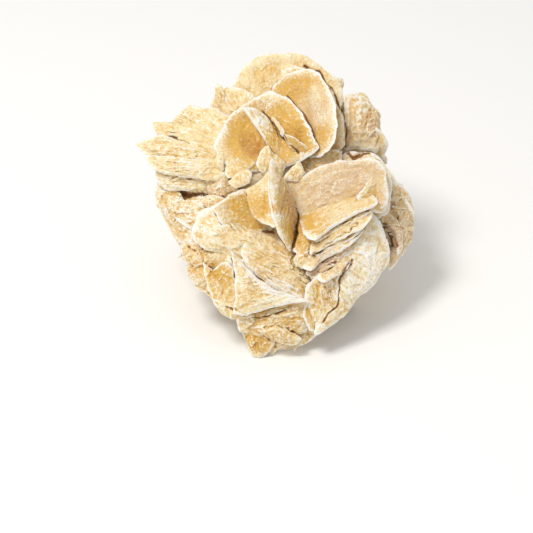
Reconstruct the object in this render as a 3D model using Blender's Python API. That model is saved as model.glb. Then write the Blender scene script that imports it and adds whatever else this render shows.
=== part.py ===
"""Gypsum sand rose: intergrown lens-shaped crystals, modelled as one solid with worn flats below.

The rose is described on its own face, which leans back from upright. A place on the face is
(right, up, out) in millimetres: right and up along the face, out towards whoever looks at it.
The hidden sides are rosettes of petals placed in the standing rose, also in millimetres.
"""

import math
import random
from collections import namedtuple

import bmesh
import bpy
from mathutils import Matrix, Vector

MM = 0.001
FACE_LEAN = math.radians(35)
FACE_ORIGIN = Vector((0, -33, -3))
FOOTPRINT_MIDDLE = Vector((0.3, 9.8, 0))

FINE_POINTS = 9
FACE_RINGS = 4
ROSETTE_SEGMENTS = 12
ROSETTE_RINGS = 4
PETAL_FULLNESS = 1.0
CORE_SEGMENTS = 10
CORE_RINGS = 6
CORE_FULLNESS = 0.7
FLOOR_BLOCK = 200
FACE_LIMIT = 9500
EDGE_ON = 15

HONEY = (0.84, 0.68, 0.42, 1)
ROUGHNESS = 0.6

Petal = namedtuple("Petal", "name out yaw pitch thick cup outline")
Rosette = namedtuple("Rosette", "name x y z azimuth elevation petals size")
Core = namedtuple("Core", "name x y z wide deep high")
Crystal = namedtuple("Crystal", "name rim normal thick bend")

# Out is how far the middle of the petal stands off the face. Yaw and pitch turn its flat to the
# right and upwards. Thick is half its thickness, and cup lifts its rim towards the looker. The
# outline is its rim as seen from in front, anticlockwise, in millimetres right and up.
PETALS = [
    Petal("back_crown", -9, 0, 10, 2.6, 1.5, [
        (25, 93), (22.5, 99), (19, 102), (14.5, 105.5), (11, 108), (5.5, 108.5), (-3, 108),
        (-7.5, 106), (-12, 101.5), (-14.5, 96.5), (-16, 93), (-13.5, 80), (-5, 70), (9, 68.5),
        (21, 77)]),
    Petal("crown_layer", -2, -25, 5, 1.6, 0.5, [
        (25, 75), (24.5, 80.5), (24, 86), (21.5, 90), (21, 93.5), (18, 97.5), (14.5, 101.5),
        (10, 102.5), (7, 103.5), (3, 102), (-0.5, 98.5), (-4, 93.5), (-3, 84), (4, 73.5),
        (12.5, 67), (19, 69.5), (22, 72)]),
    Petal("crown_right", 3, -35, 5, 1.8, 2, [
        (21, 75.5), (22, 81), (21.5, 87), (20.5, 91.5), (18, 96), (16, 99.5), (13.5, 101.5),
        (10, 101), (5.5, 98.5), (2, 96.5), (-1.5, 94), (-0.5, 84), (5.5, 75.5), (11, 70.5),
        (15.5, 70.5), (19, 72.5)]),
    Petal("crown_front", 6, -5, 10, 1.8, 5, [
        (15.5, 74), (13.5, 78.5), (11, 83.5), (8, 88), (4, 91.5), (-1.5, 93.5), (-6.5, 91.5),
        (-11, 88.5), (-15, 85.5), (-18, 80.5), (-20.5, 76), (-20.5, 73), (-18, 68.5),
        (-10, 65), (0.5, 66), (9, 69), (13, 71)]),
    Petal("crown_ridge", 11, 30, 10, 2.2, 0, [
        (-11, 88.5), (-10.5, 86.5), (-7.5, 82.5), (-4, 77), (0.5, 70), (6.5, 66.5), (7.5, 70.5),
        (3.5, 76.5), (-2, 83.5), (-5.5, 86.5)]),
    Petal("crown_flake", 9.5, -30, 0, 1.4, 0, [
        (0, 84.5), (-1, 83.5), (0.5, 80.5), (3, 77.5), (3.5, 79.5), (2, 82.5)]),
    Petal("crown_fin", 11, 0, -40, 1.2, 0, [
        (3, 78.5), (5.5, 73.5), (11, 70.5), (13.5, 72), (11.5, 74), (7.5, 77)]),
    Petal("waist_notch", 11, 10, 10, 1.2, 0, [(3, 63), (8.5, 69.5), (11, 65), (7.5, 62)]),
    Petal("waist_right", 4, -5, -10, 2, 0, [
        (2, 62), (12, 62), (22, 66), (24, 73), (16, 73.5), (8, 71)]),
    Petal("lap_plate", 8, -10, 20, 1.5, 0, [
        (-17, 70.5), (-17, 66.5), (-16, 63), (-12.5, 63.5), (-9, 66), (-6.5, 68.5), (-7.5, 70.5),
        (-12, 72.5)]),
    Petal("lap_flake", 12, -10, 5, 2, 0, [
        (-16, 62), (-13.5, 59.5), (-12, 60), (-8.5, 61.5), (-7.5, 64.5), (-9, 66.5), (-12.5, 65)]),
    Petal("waist_lump", 11, 10, -5, 2.6, 0, [
        (-6.5, 68.5), (-4, 64.5), (-0.5, 63), (3, 63.5), (4, 68.5), (0, 72), (-2, 75), (-4, 73.5)]),
    Petal("rim_wedge", 7, -20, 0, 1.5, 0, [
        (-21.5, 69), (-21, 66.5), (-17.5, 66), (-17, 69.5), (-17.5, 72.5), (-19.5, 72)]),
    Petal("fan_top", -2, -15, 15, 2.6, 0, [
        (-43.5, 83.5), (-41.5, 79), (-36.5, 75), (-26, 70), (-14, 70), (-12, 82.5),
        (-18, 87), (-21, 88.5), (-24, 88), (-29.5, 90), (-31.5, 88.5), (-34, 86), (-36.5, 83),
        (-40, 82.5)]),
    Petal("fan_spike", -5, -10, 0, 1.4, 0, [
        (-21.5, 88.5), (-18, 85), (-17, 93), (-18.5, 96.5), (-20.5, 97.5), (-21, 92.5)]),
    Petal("fan_crown", -5, -15, 10, 2.4, 0, [
        (-24, 86), (-22, 78), (-14, 76), (-6, 84), (-7, 93), (-15.5, 96.5), (-20, 94)]),
    Petal("fan_middle", 2, -10, 15, 2.4, 0, [
        (-49, 75.5), (-47, 73), (-44.5, 70.5), (-38, 67), (-27, 64), (-16, 64), (-16, 71),
        (-26, 74.5), (-33, 77), (-39, 79), (-43.5, 77.5), (-46, 77)]),
    Petal("fan_low", 6, -12, 0, 2, 0, [
        (-44.5, 69), (-42, 66.5), (-38, 65), (-31, 63.5), (-24, 63), (-16, 62), (-17, 69.5),
        (-21.5, 70), (-31, 70.5), (-40, 71.5), (-44.5, 71.5)]),
    Petal("fan_under", 2, -12, -15, 2, 0, [
        (-41.5, 67), (-41.5, 64), (-40.5, 61.5), (-36.5, 59), (-29.5, 59), (-24, 57.5), (-18, 58),
        (-18, 65), (-31, 67), (-38, 68)]),
    Petal("fan_root", 5, -15, -10, 2.2, 0, [
        (-24, 63), (-22.5, 56.5), (-16, 56), (-12, 59), (-14.5, 61.5), (-18, 66)]),
    Petal("left_shelf", 5, -20, 10, 2, 0, [
        (-26, 56.5), (-28.5, 54), (-27.5, 51), (-24, 52), (-19, 53), (-16, 56), (-20.5, 58)]),
    Petal("left_wall", 0, -30, 0, 2.4, 0.5, [
        (-40.5, 63.5), (-42, 59.5), (-41, 55), (-38, 51), (-35.5, 47.5), (-34.5, 42.5),
        (-32, 40.5), (-26.5, 40), (-24, 44), (-23, 51), (-25, 56), (-31, 56), (-33, 59),
        (-37, 62)]),
    Petal("left_lining", -4, -35, 0, 2, 0, [
        (-41, 61), (-42, 55), (-38.5, 49.5), (-36, 44), (-32.5, 39), (-26, 38), (-22, 48),
        (-26, 60), (-34, 64)]),
    Petal("left_step", 3, -25, -5, 2.4, 0.5, [
        (-32.5, 40.5), (-31.5, 35.5), (-29.5, 33.5), (-31, 31.5), (-30, 29.5), (-27, 25),
        (-24, 23.5), (-20, 20), (-14, 26), (-15, 38), (-22, 44), (-27.5, 43)]),
    Petal("honey_hollow", 8, 12, -8, 1.4, 2, [
        (-21.5, 53), (-17, 46), (-8.5, 42), (-0.5, 42), (0.5, 47.5), (-6.5, 54), (-9, 59.5),
        (-11.5, 59.5), (-15, 58), (-18.5, 55.5)]),
    Petal("left_petal", 8, 0, 0, 3.4, 0, [
        (-28.5, 42), (-24, 38.5), (-17, 36.5), (-10, 32), (-1.5, 27), (4, 34.5), (2, 40.5),
        (-2, 44), (-8.5, 46), (-13.5, 50), (-18, 54.5), (-24, 53), (-27, 50), (-28.5, 46)]),
    Petal("heart_floor", 9, 10, 10, 2.4, 0, [
        (4, 44), (-5, 46), (-12, 40), (-10, 33), (-4, 28), (4, 22), (11, 20), (16, 24),
        (13, 31), (10, 38)]),
    Petal("heart_facet", 9, -10, 10, 2, 0, [
        (8.5, 50.5), (8, 44), (6.5, 38.5), (9, 36), (15, 40), (20, 45), (22, 51), (16, 53)]),
    Petal("heart_knuckle", 12, -10, 0, 2.2, 0, [
        (6.5, 35.5), (7.5, 33), (10, 32), (13.5, 34), (14, 38), (10, 39)]),
    Petal("heart_petal", 13, -25, 5, 1.6, 0.5, [
        (-10, 59.5), (-9.5, 57), (-9, 53), (-7.5, 50), (-4, 47.5), (0.5, 46), (1.5, 54.5),
        (0.5, 61.5), (-1.5, 66), (-5.5, 62)]),
    Petal("heart_spike", 17, 55, 0, 2, 0, [
        (-1, 70), (-2, 63), (-1.5, 56), (-0.5, 49.5), (1.5, 44), (3.5, 40.5), (5.5, 38),
        (6.5, 42), (5.5, 50), (3.5, 58), (1.5, 66)]),
    Petal("spike_side", 13, 70, -5, 2.2, 0, [
        (0, 69), (0.5, 60), (3, 48), (5.5, 39), (7, 42), (8, 47.5), (7.5, 51), (5.5, 56),
        (3, 62.5)]),
    Petal("right_petal", 9, 0, -5, 2.4, 1, [
        (3, 62.5), (6.5, 55.5), (9, 49.5), (16, 51), (25, 52), (35.5, 52), (39.5, 54.5),
        (39.5, 59.5), (38.5, 65), (37, 69), (33.5, 70.5), (27.5, 69.5), (21.5, 69.5),
        (14.5, 67), (9, 63.5)]),
    Petal("right_fold", 10, 30, 0, 1.6, 0, [
        (35.5, 69), (34.5, 66), (31, 60), (27.5, 56), (34.5, 54), (37, 51), (40, 54.5), (40, 59.5),
        (38.5, 65)]),
    Petal("right_layer", 3, 5, 5, 2, 0, [
        (20.5, 70), (21.5, 65), (25, 56), (33.5, 49), (40, 51), (41, 58), (41, 64), (39, 68.5),
        (36, 72), (32, 73), (25, 72.5)]),
    Petal("stack_top", 13, -5, 40, 1.8, 0, [
        (9, 48.5), (11, 42.5), (14, 41.5), (19, 45.5), (25, 49), (31, 52), (35.5, 54), (35.5, 56.5),
        (33.5, 58), (30, 57), (25, 56), (20.5, 54.5), (14.5, 53)]),
    Petal("stack_middle", 13, -5, 35, 1.8, 0, [
        (12.5, 41), (12, 36.5), (15.5, 38), (19.5, 40.5), (26, 43.5), (31, 46), (34, 49.5),
        (33.5, 53), (27.5, 51), (21.5, 48), (15.5, 45)]),
    Petal("stack_groove", 10, 0, 10, 2, 0, [
        (11, 30), (14, 27), (18, 29), (24, 34), (28, 38), (25, 42), (18, 40), (12, 36)]),
    Petal("stack_low", 12, -5, 30, 1.8, 0, [
        (10, 32), (12.5, 31), (16, 34.5), (22.5, 37.5), (27.5, 41), (31.5, 45.5), (27.5, 46),
        (21.5, 44), (15.5, 41), (11, 37)]),
    Petal("skirt_blade", 13, 0, 35, 1.2, 0, [
        (14.5, 29), (17, 27), (21.5, 29.5), (25.5, 32), (26.5, 34.5), (24, 34.5), (19.5, 32)]),
    Petal("skirt_plate", 12, 10, -10, 2.2, 0.5, [
        (26.5, 35), (21.5, 33), (15.5, 30), (11, 26.5), (10, 21), (10, 16), (12, 10.5),
        (15.5, 10.5), (17, 13.5), (19.5, 17), (21, 20.5), (21.5, 24), (22, 28), (24.5, 31.5)]),
    Petal("skirt_right", 7, 20, -5, 2.6, 0.5, [
        (34, 52), (29.5, 47.5), (23, 40.5), (17, 28), (15.5, 17.5), (13.5, 9.5), (15.5, 9),
        (19.5, 12), (24, 15), (26.5, 18), (29, 21.5), (32.5, 24), (35.5, 27), (38, 31),
        (40, 34), (40.5, 38.5), (39, 43.5), (37, 48.5)]),
    Petal("lip_blade", 15, 0, -10, 2.6, 0.5, [
        (-17, 42), (-15.5, 35), (-14, 28), (-12.5, 21), (-10, 16), (-3, 17.5), (5.5, 19.5),
        (11, 21), (5, 23), (-0.5, 26), (-5.5, 30), (-10, 33.5), (-13.5, 36.5)]),
    Petal("lip_hollow", 8, -5, 0, 1.6, 1.5, [
        (-25, 34.5), (-24, 29), (-23, 24.5), (-20.5, 20.5), (-16, 19.5), (-12.5, 21),
        (-13.5, 26.5), (-14, 32), (-17, 34.5), (-21.5, 32)]),
    Petal("lip_toe", 9, -5, -20, 2.6, 0, [
        (-21.5, 21.5), (-20.5, 19), (-18, 16), (-14.5, 14.5), (-10, 15.5), (-9, 17), (-12, 21),
        (-16, 20.5)]),
    Petal("toe_ledge", 9, 0, -20, 2.4, 0, [
        (-13.5, 16), (-12, 10), (-4, 8), (4, 8), (11, 10), (14, 17), (11, 21.5),
        (4, 20), (-3, 19), (-8.5, 18)]),
    Petal("toe_step", 9, 0, -20, 2.2, 0, [
        (-6.5, 11.5), (-4, 9), (2, 6), (8, 5.5), (10, 7.5), (5.5, 11), (2, 13.5), (-3, 13.5)]),
    Petal("toe_plate", 5, -10, -10, 2.4, 0, [
        (-11.5, 15.5), (-11, 9), (-9.5, 5.5), (-7.5, 1), (-5, 0.5), (-1, 3), (1, 8), (-2, 13),
        (-8.5, 16)]),
    Petal("toe_crust", 3, 0, -10, 3, 0, [
        (-5, 5), (-1.5, 1.5), (2, 4), (5.5, 5), (10, 5), (13.5, 7.5), (16, 11), (12, 15),
        (4, 14), (-3, 11)]),
    Petal("shoulder_knob", -7, 20, 10, 4.5, 0, [
        (25, 93), (24.5, 86), (24, 79), (25, 73.5), (30, 74), (36, 72.5), (37.5, 76), (38, 80),
        (37, 83.5), (38, 86), (35.5, 89), (32.5, 93), (28.5, 94)]),
    Petal("shoulder_chip", -10, 20, 20, 2.4, 0, [
        (27.5, 94), (29.5, 91.5), (32, 89.5), (34.5, 89.5), (33.5, 92), (31, 94.5)]),
    Petal("crown_bit", -10, 0, 0, 2.4, 0, [
        (18, 99), (18, 92), (24, 93), (25, 96.5), (24, 99.5)]),
    Petal("side_plate", -5, 25, 0, 2.8, 0, [
        (40.5, 63), (40, 56), (36, 51), (37, 44), (41.5, 38.5), (39, 34.5), (40.5, 31),
        (43, 34), (45.5, 37), (48, 40.5), (49.5, 45.5), (49.5, 52.5), (48, 58), (44, 62.5)]),
    Petal("side_ledge", -1, 20, 0, 2, 0, [
        (36.5, 52), (37, 48.5), (40.5, 46), (43, 42), (43, 36.5), (45, 38.5), (45.5, 44),
        (43.5, 48.5), (40, 52)]),
]

# Rosettes of petals that cover the back, the sides and the underside. Azimuth 0 looks to the front,
# 90 to the right. Size is how far a petal reaches.
ROSETTES = [
    Rosette("top_back", 4, 30, 55, 180, 15, 7, 21),
    Rosette("middle_back", -6, 28, 38, 185, 5, 7, 26),
    Rosette("left_back", -20, 19, 38, 235, 5, 6, 20),
    Rosette("right_back", 19, 20, 37, 140, 0, 6, 20),
    Rosette("low_right", 22, 6, 18, 105, -15, 6, 19),
    Rosette("low_left", -14, 4, 18, 255, -15, 6, 16),
    Rosette("low_back", 4, 24, 14, 180, -15, 7, 22),
    Rosette("sole", 2, 6, 8, 0, -90, 8, 24),
    Rosette("chin", 1, -14, 10, 0, -60, 5, 16),
    Rosette("left_side", -22, -2, 30, 290, -15, 5, 15),
    Rosette("right_side", 27, -4, 28, 75, -20, 5, 15),
    Rosette("knob_side", 27, 23, 52, 120, 10, 6, 15),
    Rosette("side_back", 34, 10, 33, 120, 0, 6, 15),
]

# The sandy middles that the crystals grow from, first in the standing rose.
CORES = [
    Core("trunk_core", 2, 9, 34, 25, 19, 26),
    Core("crown_core", 3, 22, 54, 16, 10, 16),
    Core("fan_core", -18, 12, 45, 14, 10, 13),
    Core("right_core", 20, 6, 38, 15, 12, 15),
    Core("side_core", 33, 6, 31, 9, 8, 12),
    Core("toe_core", 1, -16, 10, 13, 11, 11),
    Core("heel_core", 2, 14, 14, 18, 14, 13),
]

# Then those on the face, as right, up and out, with half sizes along the same three.
FACE_CORES = [
    Core("crown_root", -3, 79, -3, 12, 9, 10),
    Core("waist_root", 0, 65, -1, 13, 8, 10),
    Core("heart_root", 6, 46, -1, 16, 12, 10),
    Core("skirt_root", 18, 32, -2, 14, 14, 9),
    Core("lip_root", -5, 24, 1, 10, 7, 12),
    Core("toe_root", 1, 12, -2, 12, 10, 9),
    Core("left_root", -25, 50, -6, 9, 13, 7),
    Core("fan_base", -25, 70, -4, 12, 9, 7),
    Core("knob_root", 29, 82, -13, 9, 11, 8),
    Core("side_root", 37, 54, -10, 9, 10, 8),
    Core("right_root", 22, 60, -2, 13, 9, 9),
]


def face_matrix():
    """Places a point given as right, up and out on the leaning face in the standing rose."""
    sine, cosine = math.sin(FACE_LEAN), math.cos(FACE_LEAN)
    right, up, out = Vector((1, 0, 0)), Vector((0, sine, cosine)), Vector((0, -cosine, sine))
    turn = Matrix((right, up, out)).transposed().to_4x4()
    return Matrix.Translation(FACE_ORIGIN) @ turn


def direction(yaw, pitch):
    """The way a flat looks on the face after turning right by yaw and up by pitch, in degrees."""
    yaw, pitch = math.radians(yaw), math.radians(pitch)
    return Vector(
        (math.sin(yaw) * math.cos(pitch), math.sin(pitch), math.cos(yaw) * math.cos(pitch))
    )


def petal_crystal(petal):
    """Lays a petal's outline on its own tilted plane, as seen from in front of the face."""
    place = face_matrix()
    normal = direction(petal.yaw, petal.pitch)
    middle_right = sum(right for right, up in petal.outline) / len(petal.outline)
    middle_up = sum(up for right, up in petal.outline) / len(petal.outline)
    rim = []
    for right, up in petal.outline:
        drop = (normal.x * (right - middle_right) + normal.y * (up - middle_up)) / normal.z
        rim.append(place @ Vector((right, up, petal.out - drop)))
    turn = place.to_3x3()
    return Crystal(petal.name, rim, turn @ normal, petal.thick, turn @ Vector((0, 0, petal.cup)))


def rosette_crystals(rosette):
    """Petals that open round a rosette's axis, each leaning out by its own angle."""
    draw = random.Random(rosette.name)
    azimuth, elevation = math.radians(rosette.azimuth), math.radians(rosette.elevation)
    axis = Vector(
        (
            math.sin(azimuth) * math.cos(elevation),
            -math.cos(azimuth) * math.cos(elevation),
            math.sin(elevation),
        )
    )
    side = axis.orthogonal().normalized()
    centre = Vector((rosette.x, rosette.y, rosette.z))
    crystals = []
    for number in range(rosette.petals):
        turn = math.tau * (number + draw.uniform(-0.25, 0.25)) / rosette.petals
        outward = Matrix.Rotation(turn, 3, axis) @ side
        opening = math.radians(draw.uniform(50, 85) if number else EDGE_ON)
        growth = math.cos(opening) * axis + math.sin(opening) * outward
        across = growth.cross(axis).normalized()
        length = rosette.size * draw.uniform(0.55, 0.7)
        width = length * draw.uniform(0.75, 1.05)
        middle = centre + growth * length * 0.7
        rim = []
        for step in range(ROSETTE_SEGMENTS):
            angle = math.tau * step / ROSETTE_SEGMENTS
            ragged = draw.uniform(0.9, 1.06)
            rim.append(
                middle
                + growth * length * ragged * math.cos(angle)
                + across * width * ragged * math.sin(angle)
            )
        name = f"{rosette.name}_{number}"
        thick = length * draw.uniform(0.14, 0.2)
        crystals.append(Crystal(name, rim, across.cross(growth), thick, axis * length * 0.1))
    return crystals


def rim_point(rim, turns):
    """A point on the smooth closed curve through the rim's points, for turns from 0 to 1."""
    place = turns % 1 * len(rim)
    index = int(place)
    t = place - index
    before, start, end, after = (rim[(index + step) % len(rim)] for step in (-1, 0, 1, 2))
    return 0.5 * (
        2 * start
        + (end - before) * t
        + (2 * before - 5 * start + 4 * end - after) * t**2
        + (3 * start - before - 3 * end + after) * t**3
    )


def crystal_mesh(crystal, segments, rings, fullness):
    """One crystal as a closed lens: a sphere whose latitudes become rings on its two flats."""
    bm = bmesh.new()
    bmesh.ops.create_uvsphere(bm, u_segments=segments, v_segments=rings, radius=1)
    middle = sum(crystal.rim, Vector()) / len(crystal.rim)
    for vert in bm.verts:
        reach = math.acos(min(1.0, abs(vert.co.z))) / (math.pi / 2)
        rim = rim_point(crystal.rim, math.atan2(vert.co.y, vert.co.x) / math.tau)
        swell = math.copysign(crystal.thick, vert.co.z) * max(0.0, 1 - reach**2) ** fullness
        vert.co = MM * (
            middle + reach * (rim - middle) + swell * crystal.normal + reach**2 * crystal.bend
        )
    if bm.calc_volume(signed=True) < 0:
        bmesh.ops.reverse_faces(bm, faces=bm.faces)
    mesh = bpy.data.meshes.new(crystal.name)
    bm.to_mesh(mesh)
    bm.free()
    return mesh


def core_crystal(core, frame):
    """A sandy middle as one blunt lens, whose rim lies across its smallest half size."""
    turn = frame.to_3x3()
    halves = [
        (core.wide, turn.col[0]),
        (core.deep, turn.col[1]),
        (core.high, turn.col[2]),
    ]
    halves.sort(key=lambda half: half[0])
    thick, normal = halves[0]
    middle = frame @ Vector((core.x, core.y, core.z))
    rim = []
    for step in range(CORE_SEGMENTS):
        angle = math.tau * step / CORE_SEGMENTS
        along = halves[2][0] * math.cos(angle) * halves[2][1]
        across = halves[1][0] * math.sin(angle) * halves[1][1]
        rim.append(middle + along + across)
    return Crystal(core.name, rim, normal, thick, Vector())


def grown_meshes():
    """Every crystal as its own closed mesh, the trunk first."""
    cores = [core_crystal(core, Matrix.Identity(4)) for core in CORES]
    cores += [core_crystal(core, face_matrix()) for core in FACE_CORES]
    meshes = [crystal_mesh(core, CORE_SEGMENTS, CORE_RINGS, CORE_FULLNESS) for core in cores]
    for petal in PETALS:
        points = len(petal.outline)
        segments = points if points >= FINE_POINTS else 2 * points
        crystal = petal_crystal(petal)
        meshes.append(crystal_mesh(crystal, segments, FACE_RINGS, PETAL_FULLNESS))
    for rosette in ROSETTES:
        for crystal in rosette_crystals(rosette):
            mesh = crystal_mesh(crystal, ROSETTE_SEGMENTS, ROSETTE_RINGS, PETAL_FULLNESS)
            meshes.append(mesh)
    return meshes


def add_object(name, mesh, collection):
    obj = bpy.data.objects.new(name, mesh)
    collection.objects.link(obj)
    return obj


def intergrow(meshes):
    """Unites all the crystals into one mesh."""
    collection = bpy.context.scene.collection
    grown = bpy.data.collections.new("grown_together")
    collection.children.link(grown)
    trunk = add_object("trunk", meshes[0], collection)
    parts = [add_object(mesh.name, mesh, grown) for mesh in meshes[1:]]
    union = trunk.modifiers.new("intergrowth", "BOOLEAN")
    union.operation = "UNION"
    union.operand_type = "COLLECTION"
    union.collection = grown
    view = bpy.context.evaluated_depsgraph_get()
    mesh = bpy.data.meshes.new_from_object(trunk.evaluated_get(view))
    for obj in [trunk, *parts]:
        bpy.data.objects.remove(obj)
    bpy.data.collections.remove(grown)
    return mesh


def shells_of(bm):
    """The separate shells of a mesh, each as a set of its faces."""
    waiting = set(bm.faces)
    shells = []
    while waiting:
        front = [waiting.pop()]
        shell = set(front)
        while front:
            for vert in front.pop().verts:
                for face in vert.link_faces:
                    if face in waiting:
                        waiting.remove(face)
                        shell.add(face)
                        front.append(face)
        shells.append(shell)
    return shells


def shell_volume(shell):
    """Six times the volume inside a shell of triangles, negative where its faces look inwards."""
    corners = ([vert.co for vert in face.verts] for face in shell)
    return sum(a.dot(b.cross(c)) for a, b, c in corners)


def outer_skin(mesh):
    """Fills the closed hollows between crystals, by taking away the shells that look inwards."""
    bm = bmesh.new()
    bm.from_mesh(mesh)
    bmesh.ops.triangulate(bm, faces=bm.faces)
    for shell in shells_of(bm):
        if shell_volume(shell) < 0:
            bmesh.ops.delete(bm, geom=list(shell), context="FACES")
    bm.to_mesh(mesh)
    bm.free()


def thin_out(rose):
    """Collapses the shortest edges, which the crossings of crystals leave, to a set face count."""
    thinner = rose.modifiers.new("thin_out", "DECIMATE")
    thinner.ratio = min(1.0, FACE_LIMIT / len(rose.data.polygons))
    thinner.use_collapse_triangulate = True


def wear_flat(rose):
    """Cuts the lowest crystals flat at the origin's level, where the rose has worn and rests."""
    bm = bmesh.new()
    bmesh.ops.create_cube(bm, size=FLOOR_BLOCK * MM)
    below = Matrix.Translation((0, 0, -FLOOR_BLOCK / 2 * MM))
    bmesh.ops.transform(bm, matrix=below, verts=bm.verts)
    mesh = bpy.data.meshes.new("worn_away")
    bm.to_mesh(mesh)
    bm.free()
    cutter = add_object("worn_away", mesh, bpy.context.scene.collection)
    cutter.hide_render = True
    cutter.display_type = "WIRE"
    wear = rose.modifiers.new("worn_flats", "BOOLEAN")
    wear.operation = "DIFFERENCE"
    wear.object = cutter


def stone_material():
    material = bpy.data.materials.new("honey_gypsum")
    material.use_nodes = True
    shader = material.node_tree.nodes["Principled BSDF"]
    shader.inputs["Base Color"].default_value = HONEY
    shader.inputs["Roughness"].default_value = ROUGHNESS
    shader.inputs["Metallic"].default_value = 0
    return material


def clear_scene():
    for obj in list(bpy.data.objects):
        bpy.data.objects.remove(obj)


def main():
    clear_scene()
    mesh = intergrow(grown_meshes())
    outer_skin(mesh)
    mesh.transform(Matrix.Translation(-MM * FOOTPRINT_MIDDLE))
    mesh.name = "sand_rose"
    mesh.materials.append(stone_material())
    rose = add_object("sand_rose", mesh, bpy.context.scene.collection)
    thin_out(rose)
    wear_flat(rose)
    return rose


if __name__ == "__main__":
    main()
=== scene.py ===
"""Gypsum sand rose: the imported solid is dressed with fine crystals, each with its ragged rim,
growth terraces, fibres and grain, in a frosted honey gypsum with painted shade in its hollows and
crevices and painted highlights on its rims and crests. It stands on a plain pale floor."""

import math
import random
from collections import namedtuple

import bmesh
import bpy
from mathutils import Matrix, Vector, noise
from mathutils.bvhtree import BVHTree
from mathutils.geometry import intersect_point_line


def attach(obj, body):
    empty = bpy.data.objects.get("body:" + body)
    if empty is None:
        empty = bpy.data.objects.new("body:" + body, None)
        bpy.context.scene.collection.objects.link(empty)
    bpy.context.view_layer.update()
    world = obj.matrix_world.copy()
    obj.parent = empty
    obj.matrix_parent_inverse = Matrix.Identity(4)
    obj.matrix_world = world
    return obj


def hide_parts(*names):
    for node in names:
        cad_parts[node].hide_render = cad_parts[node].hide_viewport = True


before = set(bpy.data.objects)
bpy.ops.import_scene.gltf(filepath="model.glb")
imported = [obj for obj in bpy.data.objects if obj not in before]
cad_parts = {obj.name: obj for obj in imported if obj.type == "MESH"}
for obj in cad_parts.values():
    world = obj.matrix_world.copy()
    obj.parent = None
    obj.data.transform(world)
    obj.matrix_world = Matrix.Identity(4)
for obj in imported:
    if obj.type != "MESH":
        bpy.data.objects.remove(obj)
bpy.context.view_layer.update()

# The part's own frame, as its source has it. A place on the face is right, up and out, in mm.
MM = 0.001
FACE_LEAN = math.radians(35)
FACE_ORIGIN = Vector((0, -33, -3))
FOOTPRINT_MIDDLE = Vector((0.3, 9.8, 0))

Petal = namedtuple("Petal", "name out yaw pitch thick cup outline")
Rosette = namedtuple("Rosette", "name x y z azimuth elevation petals size")
Core = namedtuple("Core", "name x y z wide deep high")
Crystal = namedtuple("Crystal", "name rim normal thick bend root")
Finish = namedtuple("Finish", "honey frost dusk fibres layers facets flakes")
Spot = namedtuple("Spot", "right up reach honey frost dusk")
Cleft = namedtuple("Cleft", "width depth line")

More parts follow.
